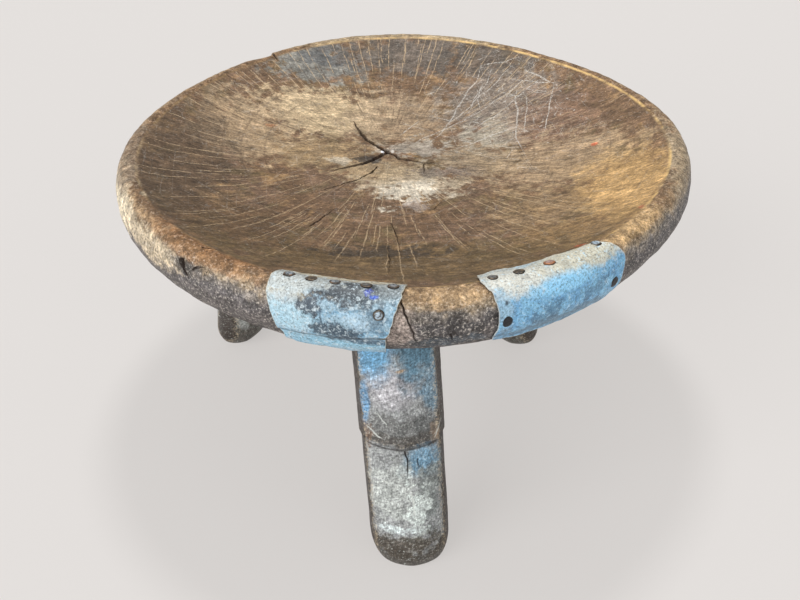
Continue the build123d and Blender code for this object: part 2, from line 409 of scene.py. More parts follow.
# cracks, splits and knocks in the wood; each line's points are mm across and along its own face:
# x and y in the dish, azimuth and travel round the rim, and across and height on the front leg
woodMarks = {
    # face, width and depth in mm, how dark it is, and its route
    "starUpLeft": ("dish", 3.0, 3.4, 0.8, (
        (-10.6, 35.9), (-18.4, 45.1), (-26.7, 54.8), (-31.6, 65.3), (-37.7, 80.7)
    )),
    "starDownLeft": ("dish", 3.2, 3.6, 0.85, (
        (-10.6, 35.9), (-14.5, 33.7), (-21.6, 24.8), (-31.4, 18.3), (-51.9, 9.3)
    )),
    "starSecondLeft": ("dish", 1.2, 2.0, 0.8, (
        (-18.2, 15.9), (-22.4, 6.9), (-30.9, -1.6), (-50.5, -15.2), (-64.2, -25.3)
    )),
    "starRight": ("dish", 2.8, 2.4, 0.65, (
        (-10.6, 35.9), (-5.6, 32.4), (-2.7, 26.8), (5.6, 24.3), (13.8, 20.5), (27.9, 19.2)
    )),
    "starBranch": ("dish", 1.2, 1.4, 0.6, ((14.8, 19.2), (14.9, 5.0))),
    "starHub": ("dish", 4.6, 4.0, 0.9, ((-12.0, 38.4), (-9.4, 33.6))),
    "frontLeftCheck": ("dish", 1.2, 1.5, 0.7, ((-60.5, -70.9), (-45.9, -44.4))),
    "frontRightCheck": ("dish", 0.9, 1.0, 0.5, ((19.9, -44.7), (28.7, -30.2))),
    "frontCheck": ("dish", 0.9, 1.1, 0.6, ((-8.2, -62.4), (-5.3, -79.8), (-2.2, -104.1))),
    "lowerFrontCheck": ("dish", 0.8, 0.9, 0.4, ((-11.1, -97.4), (-8.9, -121.4), (-9.6, -146.2))),
    "rimSplit": ("rim", 1.1, 1.8, 0.85, (
        (-91.0, 18.5), (-90.2, 11.0), (-89.4, 4.0), (-88.9, -3.0), (-87.9, -11.0)
    )),
    "rimNick": ("rim", 1.0, 1.2, 0.8, ((-83.1, -2.0), (-82.6, -8.0))),
    "backSplit": ("rim", 1.5, 2.4, 0.9, ((125.3, 16.0), (125.0, 21.3), (125.2, 32.0))),
    "backCheck": ("rim", 0.9, 0.9, 0.2, ((125.2, 32.0), (123.6, 55.0))),
    "knotHole": ("rim", 4.6, 3.4, 0.95, ((-132.4, 11.6), (-131.9, 7.4))),
    "knotTail": ("rim", 2.0, 1.6, 0.9, ((-131.9, 7.4), (-130.6, 3.6))),
    "knock": ("rim", 1.7, 1.6, 0.7, ((-129.6, 9.8), (-128.4, 13.4), (-126.9, 14.6))),
    "crestSlit": ("rim", 1.6, 1.6, 0.9, ((-129.8, 25.5), (-127.6, 30.5))),
    "legSplit": ("frontLeg", 1.1, 1.6, 0.85, ((-1.5, 95.0), (-2.6, 86.0), (-1.6, 76.0))),
    "legSideSplit": ("frontLeg", 0.8, 1.0, 0.7, ((-9.4, 88.0), (-9.0, 80.0))),
}
mmPerDegree = seatShape["radius"] * math.pi / 180


def chartPoints(points, travel, face):
    # flat coordinates on one face of the wood, and which points lie there
    if face == "dish":
        return points[:, :2], travel > section["dishEdge"]
    if face == "rim":
        azimuth = np.degrees(np.arctan2(points[:, 1], points[:, 0]))
        return np.stack([azimuth * mmPerDegree, travel], -1), travel > section["rimStart"]
    outward, across = legFrame("front")
    lean = np.array([legMiddle("front", 0.0), legMiddle("front", 100.0)])
    middle = lean[0] + (lean[1] - lean[0]) * points[:, 2:] / 100.0
    local = points - middle
    return np.stack([local @ across, points[:, 2]], -1), (local @ outward > 0) & (points[:, 2] < 170)


def markDepth(points, travel):
    # how deep the marks cut at each point in mm, how much of a mark each point is, and how near one is
    depth, mask, nearest = np.zeros(len(points)), np.zeros(len(points)), np.full(len(points), 1e3)
    wander = np.stack([latticeNoise(points, 3.5, seed, 2) for seed in (31, 32)], -1) * 0.8
    for face, width, deep, dark, line in woodMarks.values():
        flat, here = chartPoints(points, travel, face)
        route = np.array(line, float)
        if face == "rim":
            route[:, 0] *= mmPerDegree
        low, high = route.min(0) - 12, route.max(0) + 12
        near = np.nonzero(here & np.all((flat > low) & (flat < high), axis=1))[0]
        spots = flat[near] + wander[near]
        steps = np.hypot(*np.diff(route, axis=0).T)
        start = np.concatenate([[0.0], np.cumsum(steps)])
        away, along = np.full(len(near), 1e3), np.zeros(len(near))
        for index, (a, b) in enumerate(zip(route, route[1:])):
            share = np.clip(((spots - a) @ (b - a)) / steps[index] ** 2, 0.0, 1.0)
            gap = np.hypot(*(spots - a - share[:, None] * (b - a)).T)
            along = np.where(gap < away, start[index] + share * steps[index], along)
            away = np.minimum(gap, away)
        taper = along / start[-1]
        half = width / 2 * np.clip(1.15 - taper**2.5, 0.25, 1.0)
        cut = np.clip(1 - (away / half) ** 2, 0.0, 1.0)
        depth[near] = np.maximum(depth[near], cut * deep * np.clip(1.2 - taper, 0.3, 1.0))
        mask[near] = np.maximum(mask[near], smoothStep(1.5, 0.6, away / half) * dark)
        nearest[near] = np.minimum(nearest[near], away - half)
    return depth, mask, nearest


def refineNearMarks(mesh, reach):
    points = readPoints(mesh)
    nearest = markDepth(points, travelOf(points))[2]
    skin = bmesh.new()
    skin.from_mesh(mesh)
    skin.verts.ensure_lookup_table()
    close = nearest < reach
    chosen = [e for e in skin.edges if close[e.verts[0].index] and close[e.verts[1].index]]
    bmesh.ops.subdivide_edges(skin, edges=chosen, cuts=1, use_grid_fill=True)
    skin.to_mesh(mesh)
    skin.free()


for reach in (1.6, 0.8):
    refineNearMarks(wood.data, reach)
print("refined near the cracks to", len(wood.data.vertices), "points")

sheets = {
    "leftSheet": {
        "node": "left_patch",
        # azimuths of the side edges and the travel at which each holds
        "leftEdge": (
            (-20, -110.8), (-12, -111.2), (-3, -111.9), (4, -112.5), (14, -113.4), (24, -113.7),
            (42, -112.2),
        ),
        "rightEdge": (
            (-20, -93.6), (-6, -93.4), (-4.2, -93.3), (-3.1, -95.6), (-2.2, -93.4), (2, -92.7), (7, -92.3),
            (12, -91.9), (17, -91.4), (19.5, -90.9), (24, -90.4), (34, -89.8), (42, -90.3),
        ),
        # travel of the top and bottom edges and the azimuth at which each holds
        "topEdge": (
            (-114, 30.0), (-112, 34.5), (-107.5, 38), (-102.5, 39), (-97, 38.5), (-92.5, 36.5), (-89.5, 32)
        ),
        "bottomEdge": (
            (-112, -16.5), (-108, -17.5), (-104, -16.8), (-100.5, -19.0), (-96, -18.3), (-93, -17.0)
        ),
        "fold": ((-112, -6.6), (-107, -6.0), (-102, -5.2), (-97.5, -3.4), (-93, -2.9)),
        "foldDrop": 1.1,
        "seed": 3,
    },
    "rightSheet": {
        "node": "right_patch",
        "leftEdge": (
            (-20, -75.6), (-10, -75.7), (-4, -75.5), (2, -75.4), (8, -75.3), (13, -75.6), (18, -76.1),
            (22, -76.8), (26, -77.3), (34, -77.1), (46, -76.0),
        ),
        "rightEdge": (
            (-20, -50.3), (-10, -50.6), (-4, -50.2), (1, -49.8), (6, -49.2), (10, -48.8), (14, -49.0),
            (18, -49.8), (22, -50.8), (25, -52.0), (28, -53.6), (36, -56.0),
        ),
        "topEdge": (
            (-78, 33.0), (-76.8, 37.0), (-73.5, 41.5), (-70, 41.0), (-65, 39.5), (-60, 36.0), (-56, 32.0),
            (-52, 29.0), (-48, 27.0),
        ),
        "bottomEdge": ((-76, -15.0), (-72, -16.5), (-66, -17.5), (-60, -16.5), (-54, -17.0), (-49, -16.0)),
        "fold": ((-76, -9.0), (-70, -10.0), (-62, -9.2), (-55, -9.8), (-49, -9.0)),
        "foldDrop": 0.35,
        "seed": 8,
    },
}
sheetMetal = {
    "thickness": 0.8,
    "gap": 0.2,
    # dents: how deep, and the size of their lumps
    "broadDents": (0.45, 15.0),
    "fineDents": (0.16, 4.5),
    "edgeLift": (0.5, 9.0),
    "raggedSide": 0.22,  # degrees
    "raggedEnd": 0.8,
    "raggedCell": 4.0,
    "edgeReach": 1.5,
    "step": 0.62,
}


def sheetEdges(sheet, azimuth, travel):
    left = np.interp(travel, *np.array(sheet["leftEdge"]).T)
    right = np.interp(travel, *np.array(sheet["rightEdge"]).T)
    top = np.interp(azimuth, *np.array(sheet["topEdge"]).T)
    bottom = np.interp(azimuth, *np.array(sheet["bottomEdge"]).T)
    return left, right, top, bottom


def underSheets(azimuth, travel):
    # 1 where a sheet covers the wood, fading out over its edges
    cover = np.zeros(len(azimuth))
    for sheet in sheets.values():
        left, right, top, bottom = sheetEdges(sheet, azimuth, travel)
        inside = np.minimum.reduce(
            [(azimuth - left) * mmPerDegree, (right - azimuth) * mmPerDegree, top - travel, travel - bottom]
        )
        cover = np.maximum(cover, smoothStep(-1.5, 0.5, inside))
    return cover


woodRelief = {
    "broad": 0.45,  # adze waves, with lumps of broadCell
    "broadCell": 26.0,
    "rimRough": 0.34,
    "rimCell": 6.0,
    "legRough": 0.40,
    "legCell": 14.0,
    "pits": 0.16,
    "pitCell": 1.9,
    "dishFibre": 0.07,
    "fibresRound": 60.0,  # how finely the fibres divide the circle round the pith
    "fibreLength": 25.0,
    "legStarts": (2.0, 7.0),  # mm under the seat where a leg's own finish begins
    "rimStarts": (-22.0, -16.0),  # travel where the rim's roughness begins
    "dishStarts": (27.5, 31.0),  # travel where the dish's fibre begins
    "crestWear": 1.6,  # the crest is this much lower on one side of the split at the back
    "crestWearSpan": 9.0,  # over this many degrees
    "underSheet": 0.25,  # how far the wood is pressed in under the sheets
    "collarChips": 1.3,
    "chipCell": 6.0,
    "chipBand": (1.5, 5.0),  # mm below and above the collar's edge
    "footing": (6.0, 1.0),  # heights over which a foot turns from rough to flat
}


def acrossLegs(points):
    # how far each point lies across the nearest leg from its middle line, signed;
    # and the same as a distance, in which the upper inner face counts as bare side wood
    away, across, aside = np.full(len(points), 1e3), np.zeros(len(points)), np.zeros(len(points))
    for name in legShape["places"]:
        outward, side = legFrame(name)
        foot, rise = legMiddle(name, 0.0), legMiddle(name, 1.0) - legMiddle(name, 0.0)
        local = points - foot - points[:, 2:] * rise
        here, sideways = np.hypot(*local[:, :2].T), local @ side
        bare = 26.0 * smoothStep(-2.0, -5.0, local @ outward) * smoothStep(35.0, 70.0, points[:, 2])
        across = np.where(here < away, sideways, across)
        aside = np.where(here < away, np.maximum(np.abs(sideways), bare), aside)
        away = np.minimum(here, away)
    return across, aside


def carveWood(mesh):
    points = readPoints(mesh)
    relief = woodRelief
    travel = travelOf(points)
    normals = readNormals(mesh)
    depth, mask, _ = markDepth(points, travel)
    azimuth = np.degrees(np.arctan2(points[:, 1], points[:, 0]))
    under = np.interp(plainRadius(points, 1.0), *section["under"])
    onLeg = smoothStep(*relief["legStarts"], under - points[:, 2])
    onRim = smoothStep(*relief["rimStarts"], travel) * smoothStep(30.5, 27.5, travel) * (1 - onLeg)
    inDish = smoothStep(*relief["dishStarts"], travel) * (1 - onLeg)
    cover = underSheets(azimuth, travel) * (1 - onLeg)
    lift = relief["broad"] * latticeNoise(points, relief["broadCell"], 1, 2)
    lift += onRim * relief["rimRough"] * latticeNoise(points, relief["rimCell"], 2, 2)
    upright = points * np.array([1.0, 1.0, 0.25])
    lift += onLeg * relief["legRough"] * latticeNoise(upright, relief["legCell"], 3, 3)
    pitting = latticeNoise(points, relief["pitCell"], 4, 2)
    lift -= (onRim + onLeg) * relief["pits"] * smoothStep(0.1, 0.75, pitting)
    fromPith = points[:, :2] - np.array(seatShape["pith"])
    run = np.hypot(*fromPith.T)
    compass = fromPith / run[:, None] * relief["fibresRound"]
    fibre = np.stack([compass[:, 0], compass[:, 1], run / relief["fibreLength"]], -1)
    lift += inDish * relief["dishFibre"] * latticeNoise(fibre, 1.0, 5, 2)
    splitAt = woodMarks["backSplit"][-1][1][0]
    step = smoothStep(splitAt - 0.3, splitAt + 0.3, azimuth)
    step *= smoothStep(splitAt + relief["crestWearSpan"], splitAt + 2, azimuth)
    crest = smoothStep(8.0, 18.0, travel) * smoothStep(50.0, 34.0, travel) * (1 - onLeg)
    lift -= relief["crestWear"] * step * crest
    lift = lift * (1 - cover) - relief["underSheet"] * cover
    # chips along the collar's lower edge
    collar, (below, above) = legShape["collarHeight"], relief["chipBand"]
    ledge = onLeg * smoothStep(collar - below, collar - 0.2, points[:, 2])
    ledge *= smoothStep(collar + above, collar, points[:, 2])
    chips = smoothStep(0.15, 0.6, latticeNoise(points, relief["chipCell"], 6, 2))
    lift -= ledge * chips * relief["collarChips"]
    moved = points + normals * (lift - depth * (1 - cover))[:, None]
    moved[:, 2] = np.maximum(moved[:, 2], 0.0)
    footing = smoothStep(*relief["footing"], points[:, 2])
    moved[:, 2] = moved[:, 2] * (1 - footing) + points[:, 2] * footing
    writePoints(mesh, moved)
    writeMask(mesh, "crack", mask * (1 - cover))
    writeMask(mesh, "travel", travel)
    writeMask(mesh, "legShare", onLeg)
    for name, values in zip(("legAcross", "legAside"), acrossLegs(points)):
        writeMask(mesh, name, values)
    smoothShaded(mesh)


carveWood(wood.data)
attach(wood, "root")
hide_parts("stool_body")
print("wood carved")


def sheetSkin(name, sheet):
    metal = sheetMetal
    edges = ("leftEdge", "rightEdge", "topEdge", "bottomEdge")
    left, right, top, bottom = (np.array(sheet[key]) for key in edges)
    width = (right[:, 1].max() - left[:, 1].min()) * mmPerDegree
    height = top[:, 1].max() - bottom[:, 1].min()
    columns, rows = int(width / metal["step"]), int(height / metal["step"])
    across, up = np.meshgrid(np.linspace(0, 1, columns), np.linspace(0, 1, rows))
    azimuth = left[:, 1].mean() + (right[:, 1].mean() - left[:, 1].mean()) * across
    for _ in range(4):
        travel = np.interp(azimuth, *bottom.T) * (1 - up) + np.interp(azimuth, *top.T) * up
        azimuth = np.interp(travel, *left.T) * (1 - across) + np.interp(travel, *right.T) * across
    flat = np.stack([azimuth * mmPerDegree, travel, np.zeros_like(travel)], -1).reshape(-1, 3)
    seed = sheet["seed"]
    ragged = np.stack([latticeNoise(flat, metal["raggedCell"], seed + k, 3) for k in (1, 2)], -1)
    ragged = ragged.reshape(rows, columns, 2)
    nearSide = np.minimum(across, 1 - across) * columns * metal["step"]
    nearEnd = np.minimum(up, 1 - up) * rows * metal["step"]
    border = np.exp(-np.minimum(nearSide, nearEnd) / metal["edgeReach"])
    azimuth = azimuth + ragged[..., 0] * border * metal["raggedSide"]
    travel = travel + ragged[..., 1] * border * metal["raggedEnd"]
    (broadDepth, broadCell), (fineDepth, fineCell) = metal["broadDents"], metal["fineDents"]
    edgeLift, curlCell = metal["edgeLift"]
    broad = latticeNoise(flat, broadCell, seed, 2).reshape(rows, columns)
    fine = latticeNoise(flat, fineCell, seed + 5, 3).reshape(rows, columns)
    curl = smoothStep(0.0, 0.6, latticeNoise(flat, curlCell, seed + 9, 1)).reshape(rows, columns)
    lift = broadDepth * (broad + 0.6) + fineDepth * fine
    lift += border * curl * edgeLift
    foldTravel = np.interp(azimuth, *np.array(sheet["fold"]).T) + fine * 0.8
    below = foldTravel - travel
    lift -= sheet["foldDrop"] * smoothStep(-0.25, 0.35, below) * smoothStep(9.0, 1.0, below)
    lift += 0.6 * sheet["foldDrop"] * smoothStep(2.0, 9.0, below)
    turn = np.radians(azimuth)
    inner = seatSurface(travel, turn, metal["gap"] + np.maximum(lift, -0.1))
    outer = seatSurface(travel, turn, metal["gap"] + metal["thickness"] + np.maximum(lift, -0.1))
    points = np.concatenate([outer.reshape(-1, 3), inner.reshape(-1, 3)])
    index = np.arange(rows * columns).reshape(rows, columns)
    front = np.stack([index[:-1, :-1], index[:-1, 1:], index[1:, 1:], index[1:, :-1]], -1).reshape(-1, 4)
    back = front[:, ::-1] + rows * columns
    rim = np.concatenate([index[0, :], index[1:, -1], index[-1, -2::-1], index[-2:0:-1, 0]])
    after = np.roll(rim, -1)
    wall = np.stack([after, rim, rim + rows * columns, after + rows * columns], -1)
    mesh = bpy.data.meshes.new(name)
    mesh.from_pydata((points * mm).tolist(), [], np.concatenate([front, back, wall]).tolist())
    mesh.validate()
    smoothShaded(mesh)
    edge = np.concatenate([border.ravel(), border.ravel()])
    writeMask(mesh, "edge", edge)
    writeMask(mesh, "travel", np.tile(travel.ravel(), 2))
    # the band just under the fold, where the material paints the shadow of the upper layer's edge
    foldMask = smoothStep(-0.8, 0.2, below) * smoothStep(2.2, 0.6, below)
    writeMask(mesh, "fold", np.tile(foldMask.ravel(), 2))
    piece = addObject(name, mesh)
    sharpRim = mesh.attributes.new("sharp_edge", "BOOLEAN", "EDGE")
    ends = np.zeros(len(mesh.edges) * 2, dtype=np.int64)
    mesh.edges.foreach_get("vertices", ends)
    onRim = np.zeros(len(points), dtype=bool)
    onRim[rim] = onRim[rim + rows * columns] = True
    ends = ends.reshape(-1, 2)
    sharpRim.data.foreach_set("value", onRim[ends[:, 0]] & onRim[ends[:, 1]])
    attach(piece, "root")
    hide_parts(sheet["node"])
    return piece


sheetPieces = {name: sheetSkin(name, sheet) for name, sheet in sheets.items()}
print("sheets bent over the rim")

# each fastener: azimuth, facing angle, how rusty it is, and how worn, which also sets how much painted
# reflection of sky light it shows
fasteners = {
    "leftRimTacks": {
        "node": "left_patch_rim_tacks",
        "heads": (
            (-110.8, 106, 0.25, 0.6), (-106.5, 105, 0.1, 0.0), (-102.3, 107, 0.2, 0.5),
            (-96.8, 106, 0.15, 0.2), (-92.2, 107, 0.2, 0.4),
        ),
        "diameter": 6.7,
        "height": 1.1,
    },
    "leftFaceNails": {
        "node": "left_patch_face_nails",
        "heads": ((-94.4, 19, 0.0, 0.9),),
        "diameter": 6.3,
        "height": 1.6,
    },
    "rightRimTacks": {
        "node": "right_patch_rim_tacks",
        "heads": (
            (-75.0, 108, 0.1, 0.2), (-70.0, 107, 0.1, 0.0), (-63.8, 105, 0.9, 0.4), (-52.9, 100, 0.0, 0.9)
        ),
        "diameter": 6.7,
        "height": 1.1,
    },
    "rightFaceNails": {
        "node": "right_patch_face_nails",
        "heads": ((-73.9, 2, 0.0, -1.0), (-51.7, 0, 0.0, -1.0)),
        "diameter": 6.9,
        "height": 0.9,
    },
}
nailShape = {"shank": 1.8, "length": 13.0, "point": 3.0, "columns": 40, "sink": 0.25}


def facingTravel(facing):
    return float(np.interp(facing, section["facing"], section["rimTravel"]))


def nailSkin(name, group):
    shank, length = nailShape["shank"] / 2, nailShape["length"]
    head, height = group["diameter"] / 2, group["height"]
    outline = [(shank * 0.3, -length), (shank, nailShape["point"] - length), (shank, -0.3)]
    outline += [(head * 0.92, -0.1)]
    outline += [(head, 0.12 * height), (head * 0.985, 0.3 * height), (head * 0.93, 0.48 * height)]
    outline += [(head * share, height * (1 - 0.5 * share**2.4)) for share in (0.82, 0.66, 0.5, 0.34, 0.18)]
    outline = np.array(outline)
    turns = np.linspace(0, 2 * math.pi, nailShape["columns"], endpoint=False)
    whole = bmesh.new()
    masks = {"rust": [], "worn": [], "rimShare": []}
    for number, (azimuth, facing, rust, worn) in enumerate(group["heads"]):
        turn, travel = math.radians(azimuth), facingTravel(facing)
        base = seatSurface(travel, turn, sheetMetal["gap"] + sheetMetal["thickness"])
        around = seatSurface(travel, turn + 0.01) - seatSurface(travel, turn - 0.01)
        upward = seatSurface(travel + 1.0, turn) - seatSurface(travel - 1.0, turn)
        around, upward = Vector(around).normalized(), Vector(upward).normalized()
        normal = around.cross(upward).normalized()
        upward = normal.cross(around)
        out = 1 + 0.035 * np.sin(turns * 2 + number) + 0.02 * np.sin(turns * 5 + 2 * number)
        rings = outline[:, None, :1] * out[None, :, None]
        heights = np.repeat(outline[:, 1:, None], len(turns), 1)
        along, aside = rings * np.cos(turns)[None, :, None], rings * np.sin(turns)[None, :, None]
        flat = np.concatenate([along, aside, heights], -1)
        dent = latticeNoise(flat.reshape(-1, 3) + number * 9, 2.2, 12, 2).reshape(flat.shape[:2])
        flat[..., 2] += dent * 0.12 * (outline[:, 1] > 0)[:, None]
        part = ringsMesh("nail", flat, np.array([0, 0, -length]), np.array([0, 0, height]))
        place = Matrix((around, upward, normal)).transposed().to_4x4()
        place.translation = Vector((base + np.array(normal) * -nailShape["sink"]) * mm)
        part.data.transform(place)
        count = len(part.data.vertices)
        masks["rust"].append(np.full(count, rust))
        masks["worn"].append(np.full(count, worn))
        rimShare = np.concatenate([np.repeat(outline[:, 0] / head, len(turns)), [0.0, 0.0]])
        masks["rimShare"].append(rimShare)
        whole.from_mesh(part.data)
        bpy.data.objects.remove(part)
    bmesh.ops.recalc_face_normals(whole, faces=whole.faces)
    mesh = bpy.data.meshes.new(name)
    whole.to_mesh(mesh)
    whole.free()
    smoothShaded(mesh)
    for key, values in masks.items():
        writeMask(mesh, key, np.concatenate(values))
    piece = addObject(name, mesh)
    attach(piece, "root")
    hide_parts(group["node"])
    return piece


nailPieces = {name: nailSkin(name, group) for name, group in fasteners.items()}
print("tacks and nails driven")


def linear(red, green, blue):
    # a colour given in screen values from 0 to 255
    shares = (red / 255, green / 255, blue / 255)
    return *(c / 12.92 if c <= 0.04045 else ((c + 0.055) / 1.055) ** 2.4 for c in shares), 1.0


def treeOf(values):
    # the node tree that the first value made by a node belongs to
    return next(value.id_data for value in values if isinstance(value, bpy.types.NodeSocket))


def feed(socket, value):
    if isinstance(value, bpy.types.NodeSocket):
        socket.id_data.links.new(value, socket)
    else:
        socket.default_value = value


def addNode(kind, inputs, tree=None, **settings):
    made = (tree or treeOf(inputs.values())).nodes.new("ShaderNode" + kind)
    for name, value in settings.items():
        setattr(made, name, value)
    for name, value in inputs.items():
        feed(made.inputs[name], value)
    return made


def calc(operation, *values, clamp=False):
    return addNode("Math", dict(enumerate(values)), operation=operation, use_clamp=clamp).outputs[0]


def times(first, second):
    return calc("MULTIPLY", first, second)


def plus(first, second):
    return calc("ADD", first, second)


def minus(first, second):
    return calc("SUBTRACT", first, second)


def larger(first, second):
    return calc("MAXIMUM", first, second)


def awayFrom(value, middle):
    return calc("ABSOLUTE", minus(value, middle))


def nudged(value, lumps, reach):
    # a value moved up or down with the lumps, to make a border ragged
    return calc("MULTIPLY_ADD", minus(lumps, 0.5), reach, value)


def vectorCalc(operation, *values, result="Vector"):
    return addNode("VectorMath", dict(enumerate(values)), operation=operation).outputs[result]


def scaled(vector, factor):
    return addNode("VectorMath", {0: vector, "Scale": factor}, operation="SCALE").outputs[0]


def shifted(vector, by):
    return vectorCalc("ADD", vector, by)


def stretched(vector, factors):
    return vectorCalc("MULTIPLY", vector, factors)


def lengthOf(vector):
    return vectorCalc("LENGTH", vector, result="Value")


def ramp(value, low, high, toLow=0.0, toHigh=1.0, smooth=True):
    kind = "SMOOTHSTEP" if smooth else "LINEAR"
    inputs = {"Value": value, "From Min": low, "From Max": high, "To Min": toLow, "To Max": toHigh}
    return addNode("MapRange", inputs, interpolation_type=kind).outputs["Result"]


def mottle(vector, scale, detail=3.0, rough=0.55, distort=0.0):
    inputs = {"Vector": vector, "Scale": scale, "Detail": detail, "Roughness": rough, "Distortion": distort}
    return addNode("TexNoise", inputs).outputs["Fac"]


def mixColour(factor, first, second):
    return addNode("Mix", {"Factor": factor, 6: first, 7: second}, data_type="RGBA").outputs[2]


def readMask(tree, name):
    made = addNode("Attribute", {}, tree, attribute_name=name, attribute_type="GEOMETRY")
    return made.outputs["Fac"]


origin = (0.0, 0.0, 0.0)


def newGroup(name, inputs, outputs):
    # a node group with its inputs' first values, each a number or three of them
    group = bpy.data.node_groups.new(name, "ShaderNodeTree")
    for label, value in inputs.items():
        kind = "NodeSocketFloat" if isinstance(value, float) else "NodeSocketVector"
        group.interface.new_socket(label, in_out="INPUT", socket_type=kind).default_value = value
    for label in outputs:
        group.interface.new_socket(label, in_out="OUTPUT", socket_type="NodeSocketFloat")
    source = group.nodes.new("NodeGroupInput").outputs
    target = group.nodes.new("NodeGroupOutput").inputs
    return group, source, target


def useGroup(group, **values):
    return addNode("Group", values, node_tree=group, label=group.name).outputs


def join(x=0.0, y=0.0, z=0.0):
    return addNode("CombineXYZ", {0: x, 1: y, 2: z}).outputs[0]


def parted(vector):
    return addNode("SeparateXYZ", {0: vector}).outputs


def softSpotGroup():
    # an oval patch of wear or stain; Lumps is a noise that makes its border ragged
    start = {
        "Position": origin, "Centre": origin, "Size": (9.0,) * 3, "Lumps": 0.5, "Ragged": 0.8, "Edge": 0.35,
    }
    group, source, target = newGroup("Soft spot", start, ("Mask",))
    away = vectorCalc("SUBTRACT", source["Position"], source["Centre"])
    away = lengthOf(vectorCalc("DIVIDE", away, source["Size"]))
    shift = times(minus(source["Lumps"], 0.5), source["Ragged"])
    away = calc("MULTIPLY_ADD", shift, 3.0, away)
    outer, inner = plus(1.0, source["Edge"]), minus(1.0, source["Edge"])
    feed(target["Mask"], ramp(away, outer, inner))
    return group


def strokeGroup():
    # one scratch from Start to End
    start = {"Position": origin, "Start": origin, "End": (1.0,) * 3, "Width": 0.5}
    group, source, target = newGroup("Stroke", start, ("Mask",))
    run = vectorCalc("SUBTRACT", source["End"], source["Start"])
    here = vectorCalc("SUBTRACT", source["Position"], source["Start"])
    onRun = vectorCalc("DOT_PRODUCT", here, run, result="Value")
    whole = vectorCalc("DOT_PRODUCT", run, run, result="Value")
    share = calc("DIVIDE", onRun, whole, clamp=True)
    away = lengthOf(vectorCalc("SUBTRACT", here, scaled(run, share)))
    taper = times(ramp(share, 0.0, 0.25, 0.3), ramp(share, 1.0, 0.75, 0.3))
    width = times(source["Width"], taper)
    feed(target["Mask"], ramp(away, width, times(width, 0.2)))
    return group


def rayLineGroup():
    # thin checks that run out from the middle of the log, each with its own start, length and wander
    start = {
        "Turn": 0.0, "Radius": 50.0, "Count": 90.0, "Width": 0.5, "Wander": 0.6, "Nearest": 40.0,
        "Spread": 90.0, "Length": 50.0, "Share": 0.5, "Seed": 0.0,
    }
    group, source, target = newGroup("Ray lines", start, ("Mask",))
    lane = times(source["Turn"], source["Count"])
    cell = calc("FLOOR", lane)
    inputs = {"Vector": join(cell, source["Seed"])}
    random = addNode("TexWhiteNoise", inputs, noise_dimensions="3D")
    chance = parted(random.outputs["Color"])
    path = join(times(source["Radius"], 0.05), times(cell, 7.7), source["Seed"])
    drift = minus(mottle(path, 1.0, 5.0, 0.62), 0.5)
    home = ramp(chance[0], 0.0, 1.0, 0.3, 0.7, smooth=False)
    middle = calc("MULTIPLY_ADD", drift, source["Wander"], home)
    laneWidth = calc("DIVIDE", times(source["Radius"], 2 * math.pi), source["Count"])
    away = awayFrom(calc("FRACT", lane), middle)
    begins = calc("MULTIPLY_ADD", chance[1], source["Spread"], source["Nearest"])
    reach = times(source["Length"], calc("MULTIPLY_ADD", chance[2], 0.9, 0.35))
    share = calc("DIVIDE", minus(source["Radius"], begins), reach)
    along = times(ramp(share, 0.0, 0.12), ramp(share, 1.0, 0.7))
    strength = ramp(mottle(path, 5.0, 3.0, 0.7), 0.34, 0.6, 0.15, 1.0)
    width = times(source["Width"], plus(0.5, strength))
    line = ramp(times(away, laneWidth), width, times(width, 0.2))
    kept = calc("LESS_THAN", random.outputs["Value"], source["Share"])
    seen = times(times(line, along), times(kept, strength))
    feed(target["Mask"], seen)
    return group


def scratchGroup():
    # fine long scratches in one direction, broken up
    start = {
        "Position": origin, "Turn": origin, "Length": 40.0, "Gap": 5.0, "Width": 0.02, "Cover": 0.5,
        "Seed": 0.0,
    }
    group, source, target = newGroup("Scratches", start, ("Mask",))
    inputs = {"Vector": source["Position"], "Rotation": source["Turn"]}
    turned = addNode("VectorRotate", inputs, rotation_type="EULER_XYZ").outputs[0]
    size = join(source["Length"], source["Gap"], source["Gap"])
    lanes = shifted(vectorCalc("DIVIDE", turned, size), join(z=source["Seed"]))
    field = mottle(lanes, 1.0, 0.4, 0.5)
    line = ramp(awayFrom(field, 0.5), source["Width"], 0.0)
    cover = minus(1.0, source["Cover"])
    broken = mottle(shifted(lanes, (7.0, 3.0, 1.0)), 0.8, 2.0, 0.6)
    gate = ramp(broken, cover, plus(cover, 0.08))
    feed(target["Mask"], times(line, gate))
    return group


def seeded(vector, source):
    return shifted(vector, join(source["Seed"], source["Seed"], source["Seed"]))


def toneGroup():
    # light and dark of a rough surface: Tone multiplies a colour, Field is the noise itself
    start = {"Vector": origin, "Contrast": 2.5, "Roughness": 0.68, "Seed": 0.0}
    group, source, target = newGroup("Tone", start, ("Tone", "Field"))
    field = mottle(seeded(source["Vector"], source), 1.0, 6.0, source["Roughness"])
    swing = times(minus(field, 0.5), source["Contrast"])
    feed(target["Tone"], calc("POWER", 2.718, swing))
    feed(target["Field"], field)
    return group


def nickGroup():
    # small scattered chips, one at most in each cell
    start = {"Position": origin, "Cell": 7.0, "Size": 0.5, "Share": 0.5, "Seed": 0.0}
    group, source, target = newGroup("Nicks", start, ("Mask",))
    place = seeded(source["Position"], source)
    inputs = {"Vector": place, "Scale": calc("DIVIDE", 1.0, source["Cell"])}
    cells = addNode("TexVoronoi", inputs)
    chance = parted(cells.outputs["Color"])
    reach = calc("DIVIDE", times(source["Size"], plus(chance[1], 0.4)), source["Cell"])
    spot = ramp(cells.outputs["Distance"], reach, times(reach, 0.4))
    kept = calc("LESS_THAN", chance[0], source["Share"])
    feed(target["Mask"], times(spot, kept))
    return group


